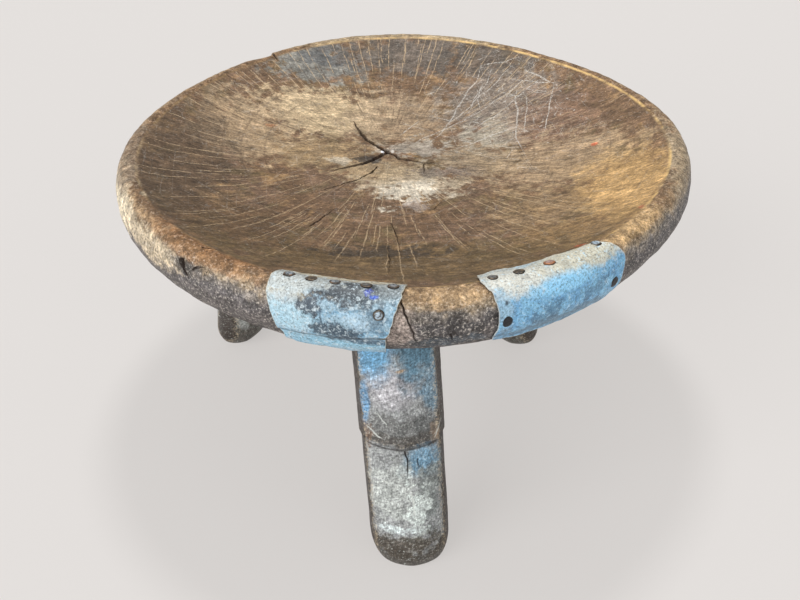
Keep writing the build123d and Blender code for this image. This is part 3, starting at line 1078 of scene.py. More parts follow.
softSpot, stroke, rayLines, scratches = softSpotGroup(), strokeGroup(), rayLineGroup(), scratchGroup()
tone, nicks = toneGroup(), nickGroup()


def startMaterial(name, specular):
    material = bpy.data.materials.new(name)
    material.use_nodes = True
    tree = material.node_tree
    shader = tree.nodes["Principled BSDF"]
    shader.inputs["Specular IOR Level"].default_value = specular
    return material, tree, shader, scaled(addNode("TexCoord", {}, tree).outputs["Object"], 1 / mm)


def lay(colour, mask, strength, over):
    # another colour over what is there, through a mask
    return mixColour(times(mask, strength), colour, linear(*over))


def roughened(colour, vector, contrast, seed=0.0, rough=0.68):
    made = useGroup(tone, Vector=vector, Contrast=contrast, Roughness=rough, Seed=seed)
    return scaled(colour, made["Tone"]), made["Field"]


def spotMask(position, lumps, at, size, ragged=0.8, edge=0.35):
    values = {"Centre": at, "Size": size, "Lumps": lumps, "Ragged": ragged, "Edge": edge}
    return useGroup(softSpot, Position=position, **values)["Mask"]


def paintSpots(colour, position, lumps, spots, placed):
    # placed turns the two numbers that place a spot on its own face into a point
    for at, size, over, strength, ragged in spots.values():
        mask = spotMask(position, lumps, placed(*at), size, ragged)
        colour = lay(colour, mask, strength, over)
    return colour


def scratchField(position, turn, gap, seed, cover):
    values = {"Turn": turn, "Length": 90.0, "Gap": gap, "Width": 0.02, "Cover": cover, "Seed": seed}
    return useGroup(scratches, Position=position, **values)["Mask"]


def scratch(position, begin, end, width):
    values = {"Start": (*begin, 0.0), "End": (*end, 0.0), "Width": width}
    return useGroup(stroke, Position=position, **values)["Mask"]


def finishSurface(shader, colour, rough, height, bump, depth):
    feed(shader.inputs["Base Color"], colour)
    feed(shader.inputs["Roughness"], rough)
    made = addNode("Bump", {"Height": height, "Strength": bump, "Distance": depth * mm})
    feed(shader.inputs["Normal"], made.outputs["Normal"])


def rimSpot(azimuth, travel):
    return tuple(seatSurface(travel, np.radians(np.array(azimuth, float))).tolist())


def dishSpot(x, y):
    return tuple(dishPoint(x, y).tolist())


def legSpot(across, height):
    outward, side = legFrame("front")
    spot = legMiddle("front", height) + outward * legShape["depth"] / 2 + side * across
    return tuple(spot.tolist())


def footSpot(name, height):
    return tuple(legMiddle(name, height).tolist())


dishFinish = {
    "ground": (112, 88, 66),
    "deep": (72, 54, 40),
    "pink": (126, 102, 84),
    "olive": (104, 92, 62),
    "gold": (160, 128, 88),
    "ray": (196, 170, 136),
    "scored": (212, 208, 200),
    # colour of the cloudy ground, its scale, where it begins and its seed
    "clouds": (("pink", 0.03, 0.5, 3.0), ("olive", 0.034, 0.52, 31.0), ("gold", 0.04, 0.54, 57.0)),
    # contrast of each layer of light and dark
    "fibreTone": 1.3,
    "cloudTone": 2.4,
    "brushTone": 2.2,
    "gritTone": 2.8,
    "fibres": (44.0, 0.07),  # how fine they are round the pith and away from it
    "cloudStretch": (0.06, 0.16, 0.1),
    "brushStretch": (0.2, 0.6, 0.4),
    "gritScale": 0.7,
    "rings": (0.3, 1.5),  # how close they lie, and how uneven they are
    "chips": (5.5, 0.6, 0.55),  # cell, size and share
    "wobble": (0.045, 7.0),  # scale and reach of the wander of the long scratches
    # fields of fine scratches: direction in degrees, gap and seed, and where they are thickest
    "scratches": ((62, 3.0, 1.0), (100, 3.6, 2.0), (36, 4.0, 3.0), (150, 5.0, 4.0)),
    "scratchedArea": (dishSpot(80, 86), (56, 66, 60), 1.0, 0.6),
    # name: middle x and y, half sizes in mm, colour, strength and raggedness
    "washes": {
        "upperLeft": ((-60, 88), (52, 30, 40), (194, 172, 138), 0.85, 1.1),
        "leftOfStar": ((-62, 34), (36, 22, 40), (160, 136, 102), 0.7, 1.2),
        "upperMiddle": ((2, 84), (40, 34, 40), (162, 140, 114), 0.7, 1.1),
        "farLeft": ((-118, 52), (36, 40, 40), (172, 148, 118), 0.75, 1.1),
        "middle": ((6, -8), (30, 26, 40), (184, 168, 144), 0.85, 1.6),
        "middlePale": ((4, -20), (16, 15, 40), (214, 205, 188), 0.65, 2.4),
        "middleGrey": ((8, -40), (10, 7, 40), (150, 138, 130), 0.7, 1.6),
        "underStar": ((-16, 12), (30, 18, 40), (166, 144, 112), 0.7, 1.2),
        "rightMiddle": ((56, 26), (34, 30, 40), (160, 144, 120), 0.6, 1.4),
        "rightGrey": ((34, 6), (24, 7, 40), (108, 96, 88), 0.7, 1.6),
        "scored": ((78, 92), (44, 50, 40), (128, 118, 108), 0.75, 1.0),
        "scoredPale": ((72, 54), (20, 22, 40), (172, 162, 144), 0.7, 1.6),
        "pink": ((112, 50), (34, 40, 40), (124, 98, 80), 0.7, 1.0),
        "right": ((112, 2), (54, 32, 40), (166, 142, 112), 0.7, 1.1),
        "rightLow": ((96, -60), (40, 30, 40), (148, 124, 92), 0.6, 1.1),
        # painted light: the inner right wall, lit bright gold
        "goldWall": ((146, -60), (32, 54, 60), (190, 154, 104), 0.85, 0.5),
        "goldFront": ((104, -112), (36, 30, 50), (150, 122, 82), 0.6, 0.9),
        "leftShade": ((-150, -20), (36, 84, 60), (88, 72, 56), 0.75, 0.8),
        "leftFront": ((-104, -92), (40, 40, 60), (94, 74, 52), 0.7, 0.9),
        "front": ((0, -128), (110, 34, 60), (102, 84, 56), 0.75, 0.8),
        "frontStain": ((-14, -106), (32, 7, 30), (58, 50, 44), 0.75, 1.8),
        "backStain": ((-72, 146), (42, 22, 50), (126, 126, 120), 0.85, 1.2),
        "backStainDark": ((-60, 152), (22, 10, 50), (84, 86, 88), 0.7, 1.8),
        "back": ((6, 160), (56, 18, 50), (96, 88, 80), 0.85, 1.1),
        "backRight": ((72, 146), (44, 20, 50), (88, 80, 72), 0.75, 1.2),
        "starKnot": ((-24, 27), (12, 5, 20), (44, 40, 38), 0.85, 1.8),
        "starPale": ((-45, 24), (7, 5, 20), (190, 178, 158), 0.7, 1.6),
        "starRightPale": ((12, 40), (22, 10, 30), (170, 162, 150), 0.6, 1.8),
        "rightFleck": ((135, 15), (2.4, 2.0, 6), (172, 84, 54), 0.8, 0.8),
        "frontFleck": ((99, -132), (3.0, 1.6, 6), (180, 92, 58), 0.8, 0.8),
        "wallFleck": ((141, -97), (1.6, 2.4, 6), (176, 102, 70), 0.7, 0.8),
        "leftFleck": ((-99, 63), (5, 3, 6), (166, 108, 70), 0.6, 1.2),
    },
    # count, width, nearest, spread, length, share, seed
    "rays": (
        (110, 0.42, 62, 60, 80, 0.72, 1), (84, 0.5, 96, 46, 50, 0.62, 2), (76, 0.36, 40, 70, 46, 0.6, 3),
    ),
    "darkRays": ((44, 0.6, 60, 90, 40, 0.5, 5), (90, 0.35, 30, 120, 30, 0.4, 6)),
    # painted highlights: glints on the glossy edges of the star's hub
    "glints": {
        "left": ((-14.6, 37.4), (1.3, 1.6, 4), (236, 236, 240), 1.0, 0.2),
        "right": ((-7.4, 37.8), (1.3, 2.4, 4), (214, 206, 196), 0.9, 0.4),
    },
    # long scratches: start, end and width in mm
    "strokes": (
        ((24, 52), (66, 140), 0.9), ((66, 140), (92, 138), 0.7), ((22, 60), (104, 118), 0.7),
        ((90, 104), (84, 40), 1.0), ((98, 124), (118, 100), 0.9), ((118, 100), (104, 46), 0.6),
        ((30, 70), (88, 132), 0.6), ((44, 56), (110, 112), 0.5), ((50, 86), (74, 134), 0.6),
        ((96, 96), (92, 50), 0.6),
        ((40, 40), (84, 62), 0.9), ((86, 118), (118, 101), 0.7), ((60, 90), (64, 122), 0.7),
        ((10, 50), (30, 66), 0.8), ((-2, 60), (13, 80), 0.8), ((6, -22), (14, -36), 0.6),
    ),
}
rimFinish = {
    # travel up the rim's section, and the wood's colour there
    "bands": (
        (-14, (78, 72, 70)), (-3, (100, 94, 92)), (5, (98, 94, 94)), (10, (128, 120, 112)),
        (15, (160, 142, 118)), (21, (150, 124, 94)), (26, (124, 98, 72)), (31, (100, 76, 54)),
    ),
    "dark": (52, 44, 40),
    "grain": (222, 212, 200),
    # the crest highlight is painted: a bright gold line along the dish edge, just inside the crest
    "crestHighlight": (236, 198, 132),
    "bandsRagged": 24.0,  # mm that the bands' borders wander
    "crestHighlightTravel": 29.5,
    "crestHighlightEdge": (2.2, 0.5),  # mm from its middle where it begins and is full
    "faceStarts": (22.0, 9.0),  # travel where pits and grains fade in on the face
    "undersideStarts": (-15.0, -24.0),
    "coarseScale": 0.16,
    "gritScale": 0.66,
    "coarseTone": 3.8,
    "gritTone": 3.5,
    "calmBack": ((0.0, 190.0, 220.0), (210, 130, 80), 0.4, 0.4),  # where the rim's grain is weaker
    "rightSide": ((90.0, 40.0, 230.0), (150, 230, 100), 0.3, 0.4),  # where the painted crest highlight is stronger
    "underside": (92, 74, 60),
    # azimuth and travel; the rest as in the dish
    "patches": {
        # painted highlights: bright warm light on the left of the rim's upper outer face
        "leftHighlight": ((-164, 6), (26, 46, 14), (248, 232, 200), 0.95, 0.9),
        "leftLowHighlight": ((-144, 7), (30, 30, 9), (222, 202, 170), 0.8, 1.1),
        "leftTop": ((-172, 24), (20, 46, 8), (128, 108, 88), 0.85, 0.9),
        "leftKnot": ((-132, 10), (8, 8, 5), (72, 68, 64), 0.7, 1.2),
        "burntLeft": ((-130, 31), (50, 40, 4), (138, 96, 56), 0.6, 0.9),
        "pinkFace": ((-92, 3), (10, 10, 14), (156, 140, 130), 0.7, 1.0),
        "frontFace": ((-83, 1), (18, 14, 9), (66, 64, 64), 0.8, 1.1),
        # painted shade: blue sky light on the lower front face between the sheets
        "frontBlue": ((-83, -10), (22, 14, 5), (66, 80, 90), 0.7, 1.1),
        "frontTop": ((-83, 20), (24, 12, 5), (172, 142, 104), 0.7, 1.1),
        "rightFront": ((-42, 24), (30, 26, 4), (186, 154, 110), 0.8, 0.9),
        "right": ((-12, 20), (20, 46, 9), (160, 142, 116), 0.8, 1.0),
        "back": ((84, 27), (150, 24, 8), (186, 166, 132), 0.7, 0.8),
        "backFace": ((90, 0), (190, 90, 18), (118, 98, 80), 0.75, 0.8),
    },
}


def rayMask(turn, radius, fields):
    labels = ("Count", "Width", "Nearest", "Spread", "Length", "Share", "Seed")
    mask = 0.0
    for field in fields:
        line = useGroup(rayLines, Turn=turn, Radius=radius, **dict(zip(labels, field)))["Mask"]
        mask = larger(mask, line)
    return mask


def dishColour(position, lumps):
    finish = dishFinish
    pith = (*seatShape["pith"], 0.0)
    across = parted(vectorCalc("SUBTRACT", position, pith))
    level = join(across[0], across[1])
    radius = lengthOf(level)
    turn = calc("MULTIPLY_ADD", calc("ARCTAN2", across[1], across[0]), 0.5 / math.pi, 0.5)
    compass = vectorCalc("NORMALIZE", level)
    colour = linear(*finish["ground"])
    for key, scale, low, seed in finish["clouds"]:
        field = mottle(shifted(position, (seed, seed, 0.0)), scale, 5.0, 0.6, 0.5)
        colour = lay(colour, ramp(field, low, low + 0.12), 0.5, finish[key])
    colour = paintSpots(colour, position, lumps, finish["washes"], dishSpot)
    fine, far = finish["fibres"]
    outwards = join(z=times(radius, far))
    fibres = shifted(scaled(compass, fine), outwards)
    clouds = stretched(position, finish["cloudStretch"])
    brushed = stretched(position, finish["brushStretch"])
    colour, fibre = roughened(colour, fibres, finish["fibreTone"], 1.0, 0.6)
    colour, _ = roughened(colour, clouds, finish["cloudTone"], 9.0)
    colour, brush = roughened(colour, brushed, finish["brushTone"], 29.0)
    gritty = scaled(position, finish["gritScale"])
    colour, grit = roughened(colour, gritty, finish["gritTone"], 5.0, 0.78)
    close, uneven = finish["rings"]
    rings = mottle(join(times(radius, close), times(lumps, uneven)), 1.0, 3.0)
    colour = lay(colour, ramp(rings, 0.55, 0.7), 0.35, finish["deep"])
    light, dark = (rayMask(turn, radius, finish[key]) for key in ("rays", "darkRays"))
    colour = lay(colour, dark, 0.75, finish["deep"])
    colour = lay(colour, light, 0.7, finish["ray"])
    cell, size, share = finish["chips"]
    chips = useGroup(nicks, Position=position, Cell=cell, Size=size, Share=share, Seed=2.0)["Mask"]
    colour = lay(colour, chips, 0.8, finish["ray"])
    scale, reach = finish["wobble"]
    wobbly = addNode("TexNoise", {"Vector": position, "Scale": scale, "Detail": 1.0}).outputs["Color"]
    wobbly = shifted(join(*parted(position)[:2]), scaled(wobbly, reach))
    wobbly = vectorCalc("SUBTRACT", wobbly, (reach / 2, reach / 2, 0.0))
    wobbly = join(*parted(wobbly)[:2])
    scored = 0.0
    for begin, end, width in finish["strokes"]:
        scored = larger(scored, scratch(wobbly, begin, end, width))
    broken = ramp(grit, 0.44, 0.54, 0.12, 1.0)
    area = spotMask(position, lumps, *finish["scratchedArea"])
    for angle, gap, seed in finish["scratches"]:
        line = scratchField(position, (0.0, 0.0, math.radians(-angle)), gap, seed, 0.5)
        line = times(line, ramp(area, 0.0, 1.0, 0.3, 1.0))
        scored = larger(scored, line)
    colour = lay(colour, times(scored, broken), 0.7, finish["scored"])
    height = plus(calc("MULTIPLY_ADD", fibre, 0.5, brush), times(grit, 0.6))
    grooves = times(larger(light, dark), 0.5)
    return colour, minus(height, grooves)


def rimColour(position, lumps, travel, streaks):
    finish = rimFinish
    shade = nudged(travel, lumps, finish["bandsRagged"])
    colour = linear(*finish["bands"][0][1])
    for (low, _), (high, over) in zip(finish["bands"], finish["bands"][1:]):
        colour = mixColour(ramp(shade, low, high), colour, linear(*over))
    colour = paintSpots(colour, position, lumps, finish["patches"], rimSpot)
    # painted highlight along the inner edge of the crest, broken up and stronger on the right
    away = awayFrom(travel, finish["crestHighlightTravel"])
    broken = mottle(position, 0.06, 4.0, 0.7)
    line = times(ramp(away, *finish["crestHighlightEdge"]), ramp(broken, 0.4, 0.6, 0.1, 1.0))
    rightSide = spotMask(position, lumps, *finish["rightSide"])
    line = times(line, calc("MULTIPLY_ADD", rightSide, 0.8, 0.2))
    rough, gritty = scaled(position, finish["coarseScale"]), scaled(position, finish["gritScale"])
    colour, coarse = roughened(colour, rough, finish["coarseTone"], 3.0)
    colour, grit = roughened(colour, gritty, finish["gritTone"], 7.0, 0.8)
    calm = spotMask(position, lumps, *finish["calmBack"])
    face = ramp(travel, *finish["faceStarts"], 0.4, 1.0)
    face = times(face, calc("MULTIPLY_ADD", calm, -0.65, 1.0))
    pits = times(ramp(grit, 0.46, 0.41), face)
    grains = times(ramp(grit, 0.555, 0.605), face)
    colour = lay(colour, pits, 0.75, finish["dark"])
    colour = lay(colour, grains, 0.8, finish["grain"])
    colour = lay(colour, line, 0.9, finish["crestHighlight"])
    under = mixColour(streaks, linear(*finish["dark"]), linear(*finish["underside"]))
    colour = mixColour(ramp(travel, *finish["undersideStarts"]), colour, under)
    return colour, plus(coarse, grit)


legFinish = {
    "ground": (150, 152, 152),
    "side": (62, 52, 46),
    "dark": (46, 42, 40),
    "pale": (226, 230, 224),
    "foot": (74, 66, 56),
    "nick": (204, 184, 152),
    "footStarts": (32.0, 18.0),  # heights over which the bare foot begins
    "footRagged": 60.0,
    "sideStarts": (22.6, 24.4),  # mm from the middle line where the bare side begins
    "sideRagged": 5.0,
    "cornerAt": 23.0,
    "bloomFades": (150.0, 120.0),  # heights over which the pale bloom comes in
    "scratchesFade": (135.0, 120.0),
    "grainStretch": (0.9, 0.9, 0.12),
    "hatchStretch": (0.16, 0.5, 0.8),
    "hatchTurn": (0.0, 0.5, 0.3),
    "coarseScale": 0.11,
    "gritScale": 0.62,
    # contrast of each layer of light and dark
    "grainTone": 2.6,
    "hatchTone": 2.4,
    "coarseTone": 1.8,
    "gritTone": 2.8,
    # fields of fine scratches: turns about x, y and z, gap and seed
    "scratchFields": (((0.3, 0.2, 0.5), 2.4, 1.0), ((0.0, 1.2, 0.2), 2.8, 2.0), ((0.8, -0.7, 0.9), 3.2, 3.0)),
    "feet": {
        "leftFoot": (("left", 20), (50, 50, 60), (140, 142, 138), 0.85, 0.6),
        "rightFoot": (("right", 20), (50, 50, 60), (128, 134, 128), 0.85, 0.6),
    },
    # across the front leg and over the floor; the rest as in the dish
    "patches": {
        "collarDark": ((-2, 108), (26, 24, 12), (104, 104, 102), 0.8, 0.9),
        "collarRight": ((-17, 112), (9, 24, 16), (96, 98, 98), 0.7, 1.0),
        "collarLow": ((0, 101), (30, 24, 4), (76, 70, 64), 0.7, 1.0),
        "lilac": ((4, 138), (18, 20, 14), (180, 178, 182), 0.85, 0.4),
        # painted shade: the blue of sky light where shadow falls on the front leg, under the rim at its top
        # (darker on the right facet, which is in shade), along its edges, and under the collar's step on the
        # right facet
        "blueLeft": ((13, 174), (14, 30, 31), (108, 162, 198), 0.95, 0.4),
        "blueRight": ((-13, 168), (14, 30, 32), (88, 124, 144), 0.95, 0.5),
        "blueEdge": ((22, 128), (3, 20, 16), (104, 158, 200), 0.8, 0.8),
        "blueEdgeRight": ((-20, 132), (5, 20, 14), (110, 146, 168), 0.6, 0.8),
        "blueLow": ((-13, 85), (13, 20, 11), (116, 160, 188), 0.85, 0.8),
        "paleLow": ((7, 64), (20, 22, 24), (180, 184, 180), 0.8, 1.3),
        "greyLow": ((-14, 62), (10, 22, 26), (124, 130, 128), 0.8, 1.4),
        "paleFront": ((-6, 50), (6, 18, 22), (220, 228, 224), 0.75, 2.2),
        "paleFoot": ((8, 36), (14, 18, 3.5), (216, 226, 226), 0.75, 2.0),
        "chipsLeft": ((22, 104), (3, 12, 8), (128, 102, 82), 0.6, 2.0),
        "chipsRight": ((-22, 104), (3, 12, 7), (150, 126, 102), 0.5, 2.0),
        "warmFleck": ((-3, 150), (3.5, 8, 1.4), (198, 164, 118), 0.7, 1.4),
        "brownLow": ((2, 22), (30, 22, 9), (84, 76, 66), 0.8, 1.3),
    },
    # scratches on the front leg: start and end, each across it and over the floor, and width in mm
    "scratches": (
        ((14, 120), (9, 111), 0.6), ((22, 109), (12, 101), 0.8), ((-21, 99), (-25, 109), 0.6),
        ((20, 50), (10, 49), 0.7), ((20, 72), (8, 70), 0.7), ((-3, 64), (-5, 46), 1.0),
    ),
}


def legColour(position, lumps, across, side):
    finish = legFinish
    height = parted(position)[2]
    colour = paintSpots(linear(*finish["ground"]), position, lumps, finish["feet"], footSpot)
    colour = paintSpots(colour, position, lumps, finish["patches"], legSpot)
    low = nudged(height, lumps, finish["footRagged"])
    colour = lay(colour, ramp(low, *finish["footStarts"]), 0.85, finish["foot"])
    edge = nudged(side, lumps, finish["sideRagged"])
    colour = lay(colour, ramp(edge, *finish["sideStarts"]), 0.9, finish["side"])
    grain = stretched(position, finish["grainStretch"])
    inputs = {"Vector": position, "Rotation": finish["hatchTurn"]}
    hatch = addNode("VectorRotate", inputs, rotation_type="EULER_XYZ").outputs[0]
    hatch = stretched(hatch, finish["hatchStretch"])
    colour, _ = roughened(colour, grain, finish["grainTone"], 13.0, 0.7)
    colour, _ = roughened(colour, hatch, finish["hatchTone"], 23.0, 0.7)
    rough, gritty = scaled(position, finish["coarseScale"]), scaled(position, finish["gritScale"])
    colour, coarse = roughened(colour, rough, finish["coarseTone"], 17.0)
    colour, grit = roughened(colour, gritty, finish["gritTone"], 19.0, 0.8)
    colour = lay(colour, ramp(grit, 0.44, 0.38), 0.5, finish["dark"])
    bloom = times(ramp(grit, 0.57, 0.62), ramp(height, *finish["bloomFades"], 0.1, 0.8))
    colour = lay(colour, bloom, 0.6, finish["pale"])
    scored = 0.0
    for turns, gap, seed in finish["scratchFields"]:
        scored = larger(scored, scratchField(position, turns, gap, seed, 0.4))
    scored = times(scored, ramp(height, *finish["scratchesFade"], 0.2, 1.0))
    shift = times(minus(lumps, 0.5), 7.0)
    flat = join(plus(across, shift), minus(height, shift))
    atFront = spotMask(position, lumps, legSpot(0, 100), (60, 60, 160), 0.2, 0.2)
    for begin, end, width in finish["scratches"]:
        scored = larger(scored, times(scratch(flat, begin, end, width), atFront))
    colour = lay(colour, scored, 0.7, finish["pale"])
    # painted shadow: a dark line just under the collar's step
    underCollar = awayFrom(height, legShape["collarHeight"] - 1.0)
    underCollar = plus(underCollar, times(lumps, 1.5))
    colour = lay(colour, ramp(underCollar, 2.0, 1.0), 0.75, finish["dark"])
    corner = ramp(awayFrom(side, finish["cornerAt"]), 2.4, 0.4)
    worn = times(corner, ramp(grit, 0.5, 0.6))
    collar = awayFrom(height, legShape["collarHeight"] + 2.0)
    wornCollar = times(ramp(collar, 2.4, 0.5), ramp(grit, 0.52, 0.62, 0.0, 0.7))
    worn = larger(worn, wornCollar)
    colour = lay(colour, worn, 0.75, finish["nick"])
    return colour, plus(coarse, grit)


woodFinish = {
    "crack": (46, 33, 26),
    "lumpScale": 0.11,
    "streakStretch": (0.5, 0.5, 0.045),
    "dishStarts": (28.0, 31.0),  # travel over which the rim's finish turns into the dish's
    "dishRagged": 4.0,
    "roughness": (0.44, 0.62),
    "bump": (0.55, 0.7),  # strength, and height in mm
}


def woodMaterial():
    finish = woodFinish
    material, tree, shader, position = startMaterial("oldWood", 0.32)
    names = ("travel", "crack", "legShare", "legAcross", "legAside")
    travel, crack, legShare, across, side = (readMask(tree, name) for name in names)
    lumps = mottle(position, finish["lumpScale"], 6.0, 0.62)
    streaks = mottle(stretched(position, finish["streakStretch"]), 1.0, 5.0, 0.62)
    dish, dishHeight = dishColour(position, lumps)
    rim, rimHeight = rimColour(position, lumps, travel, streaks)
    leg, legHeight = legColour(position, lumps, across, side)
    inDish = ramp(nudged(travel, lumps, finish["dishRagged"]), *finish["dishStarts"])
    colour = mixColour(legShare, mixColour(inDish, rim, dish), leg)
    colour = lay(colour, crack, 0.95, finish["crack"])
    # painted highlights in the star's hub
    colour = paintSpots(colour, position, lumps, dishFinish["glints"], dishSpot)
    height = mixColour(legShare, mixColour(inDish, rimHeight, dishHeight), legHeight)
    rough = plus(ramp(lumps, 0.35, 0.65, *finish["roughness"]), times(crack, 0.3))
    finishSurface(shader, colour, rough, height, *finish["bump"])
    return material


# the base, blue and blue spots of each sheet are painted reflection of blue sky light on metal that faces
# forward, laid over the metal's own grey and its real bloom and bare marks
sheetFinish = {
    "leftSheet": {
        "base": (152, 180, 196), "blue": (120, 172, 204), "top": (166, 164, 154), "bloom": (206, 220, 226),
        "bare": (36, 42, 50), "edge": (206, 196, 172), "bloomShare": 0.53, "bareShare": 0.4, "seed": 4.0,
        "spots": {
            "topLeft": ((-110.5, 18), (14, 12, 9), (196, 200, 196), 0.8, 1.0),
            "blueLeft": ((-109, 4), (16, 12, 9), (178, 212, 226), 0.8, 1.0),
            "greyTop": ((-97, 21), (22, 9, 6), (112, 122, 126), 0.8, 1.4),
            "darkMiddle": ((-101.3, 0), (12, 7, 6.5), (46, 58, 70), 0.9, 1.8),
            "darkLeft": ((-105.4, 13), (8, 5, 6), (50, 58, 70), 0.9, 1.5),
            "darkTop": ((-99.5, 22), (13, 8, 4.5), (64, 70, 76), 0.85, 1.7),
            "darkRight": ((-94.8, 9), (7, 5, 8), (96, 112, 124), 0.6, 2.0),
            "paleMiddle": ((-98.2, 7), (8, 6, 4), (190, 216, 232), 0.65, 1.8),
            "creamTop": ((-102, 34.5), (36, 12, 2.6), (198, 186, 158), 0.8, 0.8),
            "strip": ((-103, -12), (34, 14, 6), (146, 194, 216), 0.8, 0.8),
            "stripDark": ((-97, -7), (14, 8, 2.4), (52, 76, 96), 0.8, 1.6),
            "strokeOne": ((-96.6, 22.4), (3.2, 2.4, 1.4), (44, 74, 200), 0.9, 1.2),
            "strokeTwo": ((-95.3, 20.6), (2.6, 2.0, 1.0), (58, 96, 210), 0.9, 1.2),
        },
    },
    "rightSheet": {
        "base": (134, 190, 224), "blue": (106, 164, 208), "top": (190, 184, 166), "bloom": (190, 220, 238),
        "bare": (52, 72, 88), "edge": (216, 218, 212), "bloomShare": 0.55, "bareShare": 0.4, "seed": 9.0,
        "spots": {
            "cream": ((-70.5, 23), (20, 16, 7), (216, 214, 202), 0.9, 0.8),
            "creamRight": ((-58, 26), (28, 22, 6), (206, 200, 178), 0.9, 0.8),
            "bright": ((-63, 14), (26, 17, 4.5), (150, 212, 248), 0.9, 0.6),
            "leftPale": ((-74.5, 8), (5, 4, 12), (168, 196, 212), 0.6, 1.2),
            "lowDark": ((-62, -11), (40, 28, 6), (80, 108, 128), 0.7, 1.6),
            "blotch": ((-66, -1), (10, 8, 5), (80, 114, 136), 0.6, 2.0),
            "blotchTwo": ((-56, 3), (12, 8, 4), (88, 126, 152), 0.6, 2.0),
            "dotBlue": ((-57.2, 25.7), (1.5, 1.2, 1.2), (112, 200, 245), 1.0, 0.4),
            "dotPurple": ((-72.5, 27), (1.4, 1.2, 1.0), (104, 90, 224), 1.0, 0.4),
            "ghostOne": ((-69.8, 23.0), (3.4, 2.6, 2.0), (158, 156, 148), 0.6, 0.4),
            "ghostTwo": ((-61.5, 23.0), (3.4, 3.0, 2.0), (160, 158, 146), 0.6, 0.4),
            "hole": ((-74.0, 11.9), (1.5, 1.5, 1.7), (22, 22, 26), 1.0, 0.6),
        },
    },
}


sheetWear = {
    "lumpScale": 0.14,
    "patchScale": 0.33,
    "gritScale": 0.75,
    "gritTone": 2.6,
    "topStarts": (16.0, 23.0),  # travel over which the top strip's colour begins
    "frayed": (0.74, 0.96),  # how near the edge the bare edge begins, where 1 is the edge
    "roughness": (0.36, 0.56),
    "bump": (0.5, 0.6),
}


def sheetMaterial(name):
    wear = sheetWear
    finish = sheetFinish[name]
    material, tree, shader, position = startMaterial(name + "Metal", 0.5)
    travel, edge, fold = (readMask(tree, key) for key in ("travel", "edge", "fold"))
    seed = finish["seed"]
    place = shifted(position, (seed * 11.0, seed * 7.0, seed * 3.0))
    lumps = mottle(place, wear["lumpScale"], 6.0, 0.66)
    patchy = mottle(place, wear["patchScale"], 6.0, 0.7, 0.3)
    # the sheet's ground: painted reflection of blue sky light, mottled
    colour = mixColour(ramp(lumps, 0.4, 0.6), linear(*finish["blue"]), linear(*finish["base"]))
    colour = lay(colour, ramp(travel, *wear["topStarts"]), 0.8, finish["top"])
    colour = paintSpots(colour, position, lumps, finish["spots"], rimSpot)
    share = finish["bloomShare"]
    colour = lay(colour, ramp(patchy, share, share + 0.1), 0.75, finish["bloom"])
    share = finish["bareShare"]
    bare = ramp(patchy, share, share - 0.1)
    colour = lay(colour, bare, 0.75, finish["bare"])
    colour, grit = roughened(colour, scaled(place, wear["gritScale"]), wear["gritTone"], 1.0, 0.8)
    colour = lay(colour, ramp(grit, 0.45, 0.4), 0.5, finish["bare"])
    colour = lay(colour, ramp(grit, 0.56, 0.61), 0.5, finish["bloom"])
    colour = lay(colour, ramp(edge, *wear["frayed"]), 0.75, finish["edge"])
    # painted shadow along the fold, under the upper layer's edge, in the dark bare-metal colour
    colour = lay(colour, fold, 0.6, finish["bare"])
    feed(shader.inputs["Metallic"], times(bare, 0.5))
    height = plus(patchy, times(grit, 0.5))
    rough = ramp(patchy, 0.35, 0.65, *wear["roughness"])
    finishSurface(shader, colour, rough, height, *wear["bump"])
    return material


nailFinish = {
    "iron": (58, 52, 46),
    "pale": (112, 100, 82),
    "black": (26, 30, 38),
    "rust": (176, 116, 76),
    # rubbed metal, its light blue a painted reflection of sky light
    "worn": (188, 210, 226),
    # painted shadow round the edge of each head
    "ring": (24, 22, 22),
    "spotScale": 0.6,
    "gritTone": 2.4,
    "metallic": (0.1, 0.4),
    "roughness": (0.35, 0.6),
    "bump": (0.4, 0.4),
}


def nailMaterial():
    finish = nailFinish
    material, tree, shader, position = startMaterial("nailIron", 0.5)
    rust, worn, rimShare = (readMask(tree, key) for key in ("rust", "worn", "rimShare"))
    spots = mottle(position, finish["spotScale"], 5.0, 0.65)
    colour = mixColour(ramp(spots, 0.4, 0.62), linear(*finish["iron"]), linear(*finish["pale"]))
    rusty = ramp(calc("MULTIPLY_ADD", rust, 0.24, spots), 0.5, 0.64)
    colour = lay(colour, times(rusty, rust), 1.0, finish["rust"])
    # rubbed metal in the middle of worn heads, light blue as a painted reflection of sky light
    rubbed = times(ramp(rimShare, 0.8, 0.5), ramp(spots, 0.35, 0.55))
    colour = lay(colour, times(rubbed, worn), 0.9, finish["worn"])
    colour = lay(colour, calc("MULTIPLY", worn, -1.0, clamp=True), 0.9, finish["black"])
    colour, grit = roughened(colour, position, finish["gritTone"], 5.0)
    # painted shadow round the edge of each head
    colour = lay(colour, ramp(rimShare, 0.84, 0.98), 0.85, finish["ring"])
    feed(shader.inputs["Metallic"], ramp(spots, 0.35, 0.6, *finish["metallic"]))
    finishSurface(shader, colour, ramp(spots, 0.3, 0.7, *finish["roughness"]), grit, *finish["bump"])
    return material


def dress(piece, material):
    piece.data.materials.clear()
    piece.data.materials.append(material)


dress(wood, woodMaterial())
for name, piece in sheetPieces.items():
    dress(piece, sheetMaterial(name))
iron = nailMaterial()
for piece in nailPieces.values():
    dress(piece, iron)
print("finishes laid")

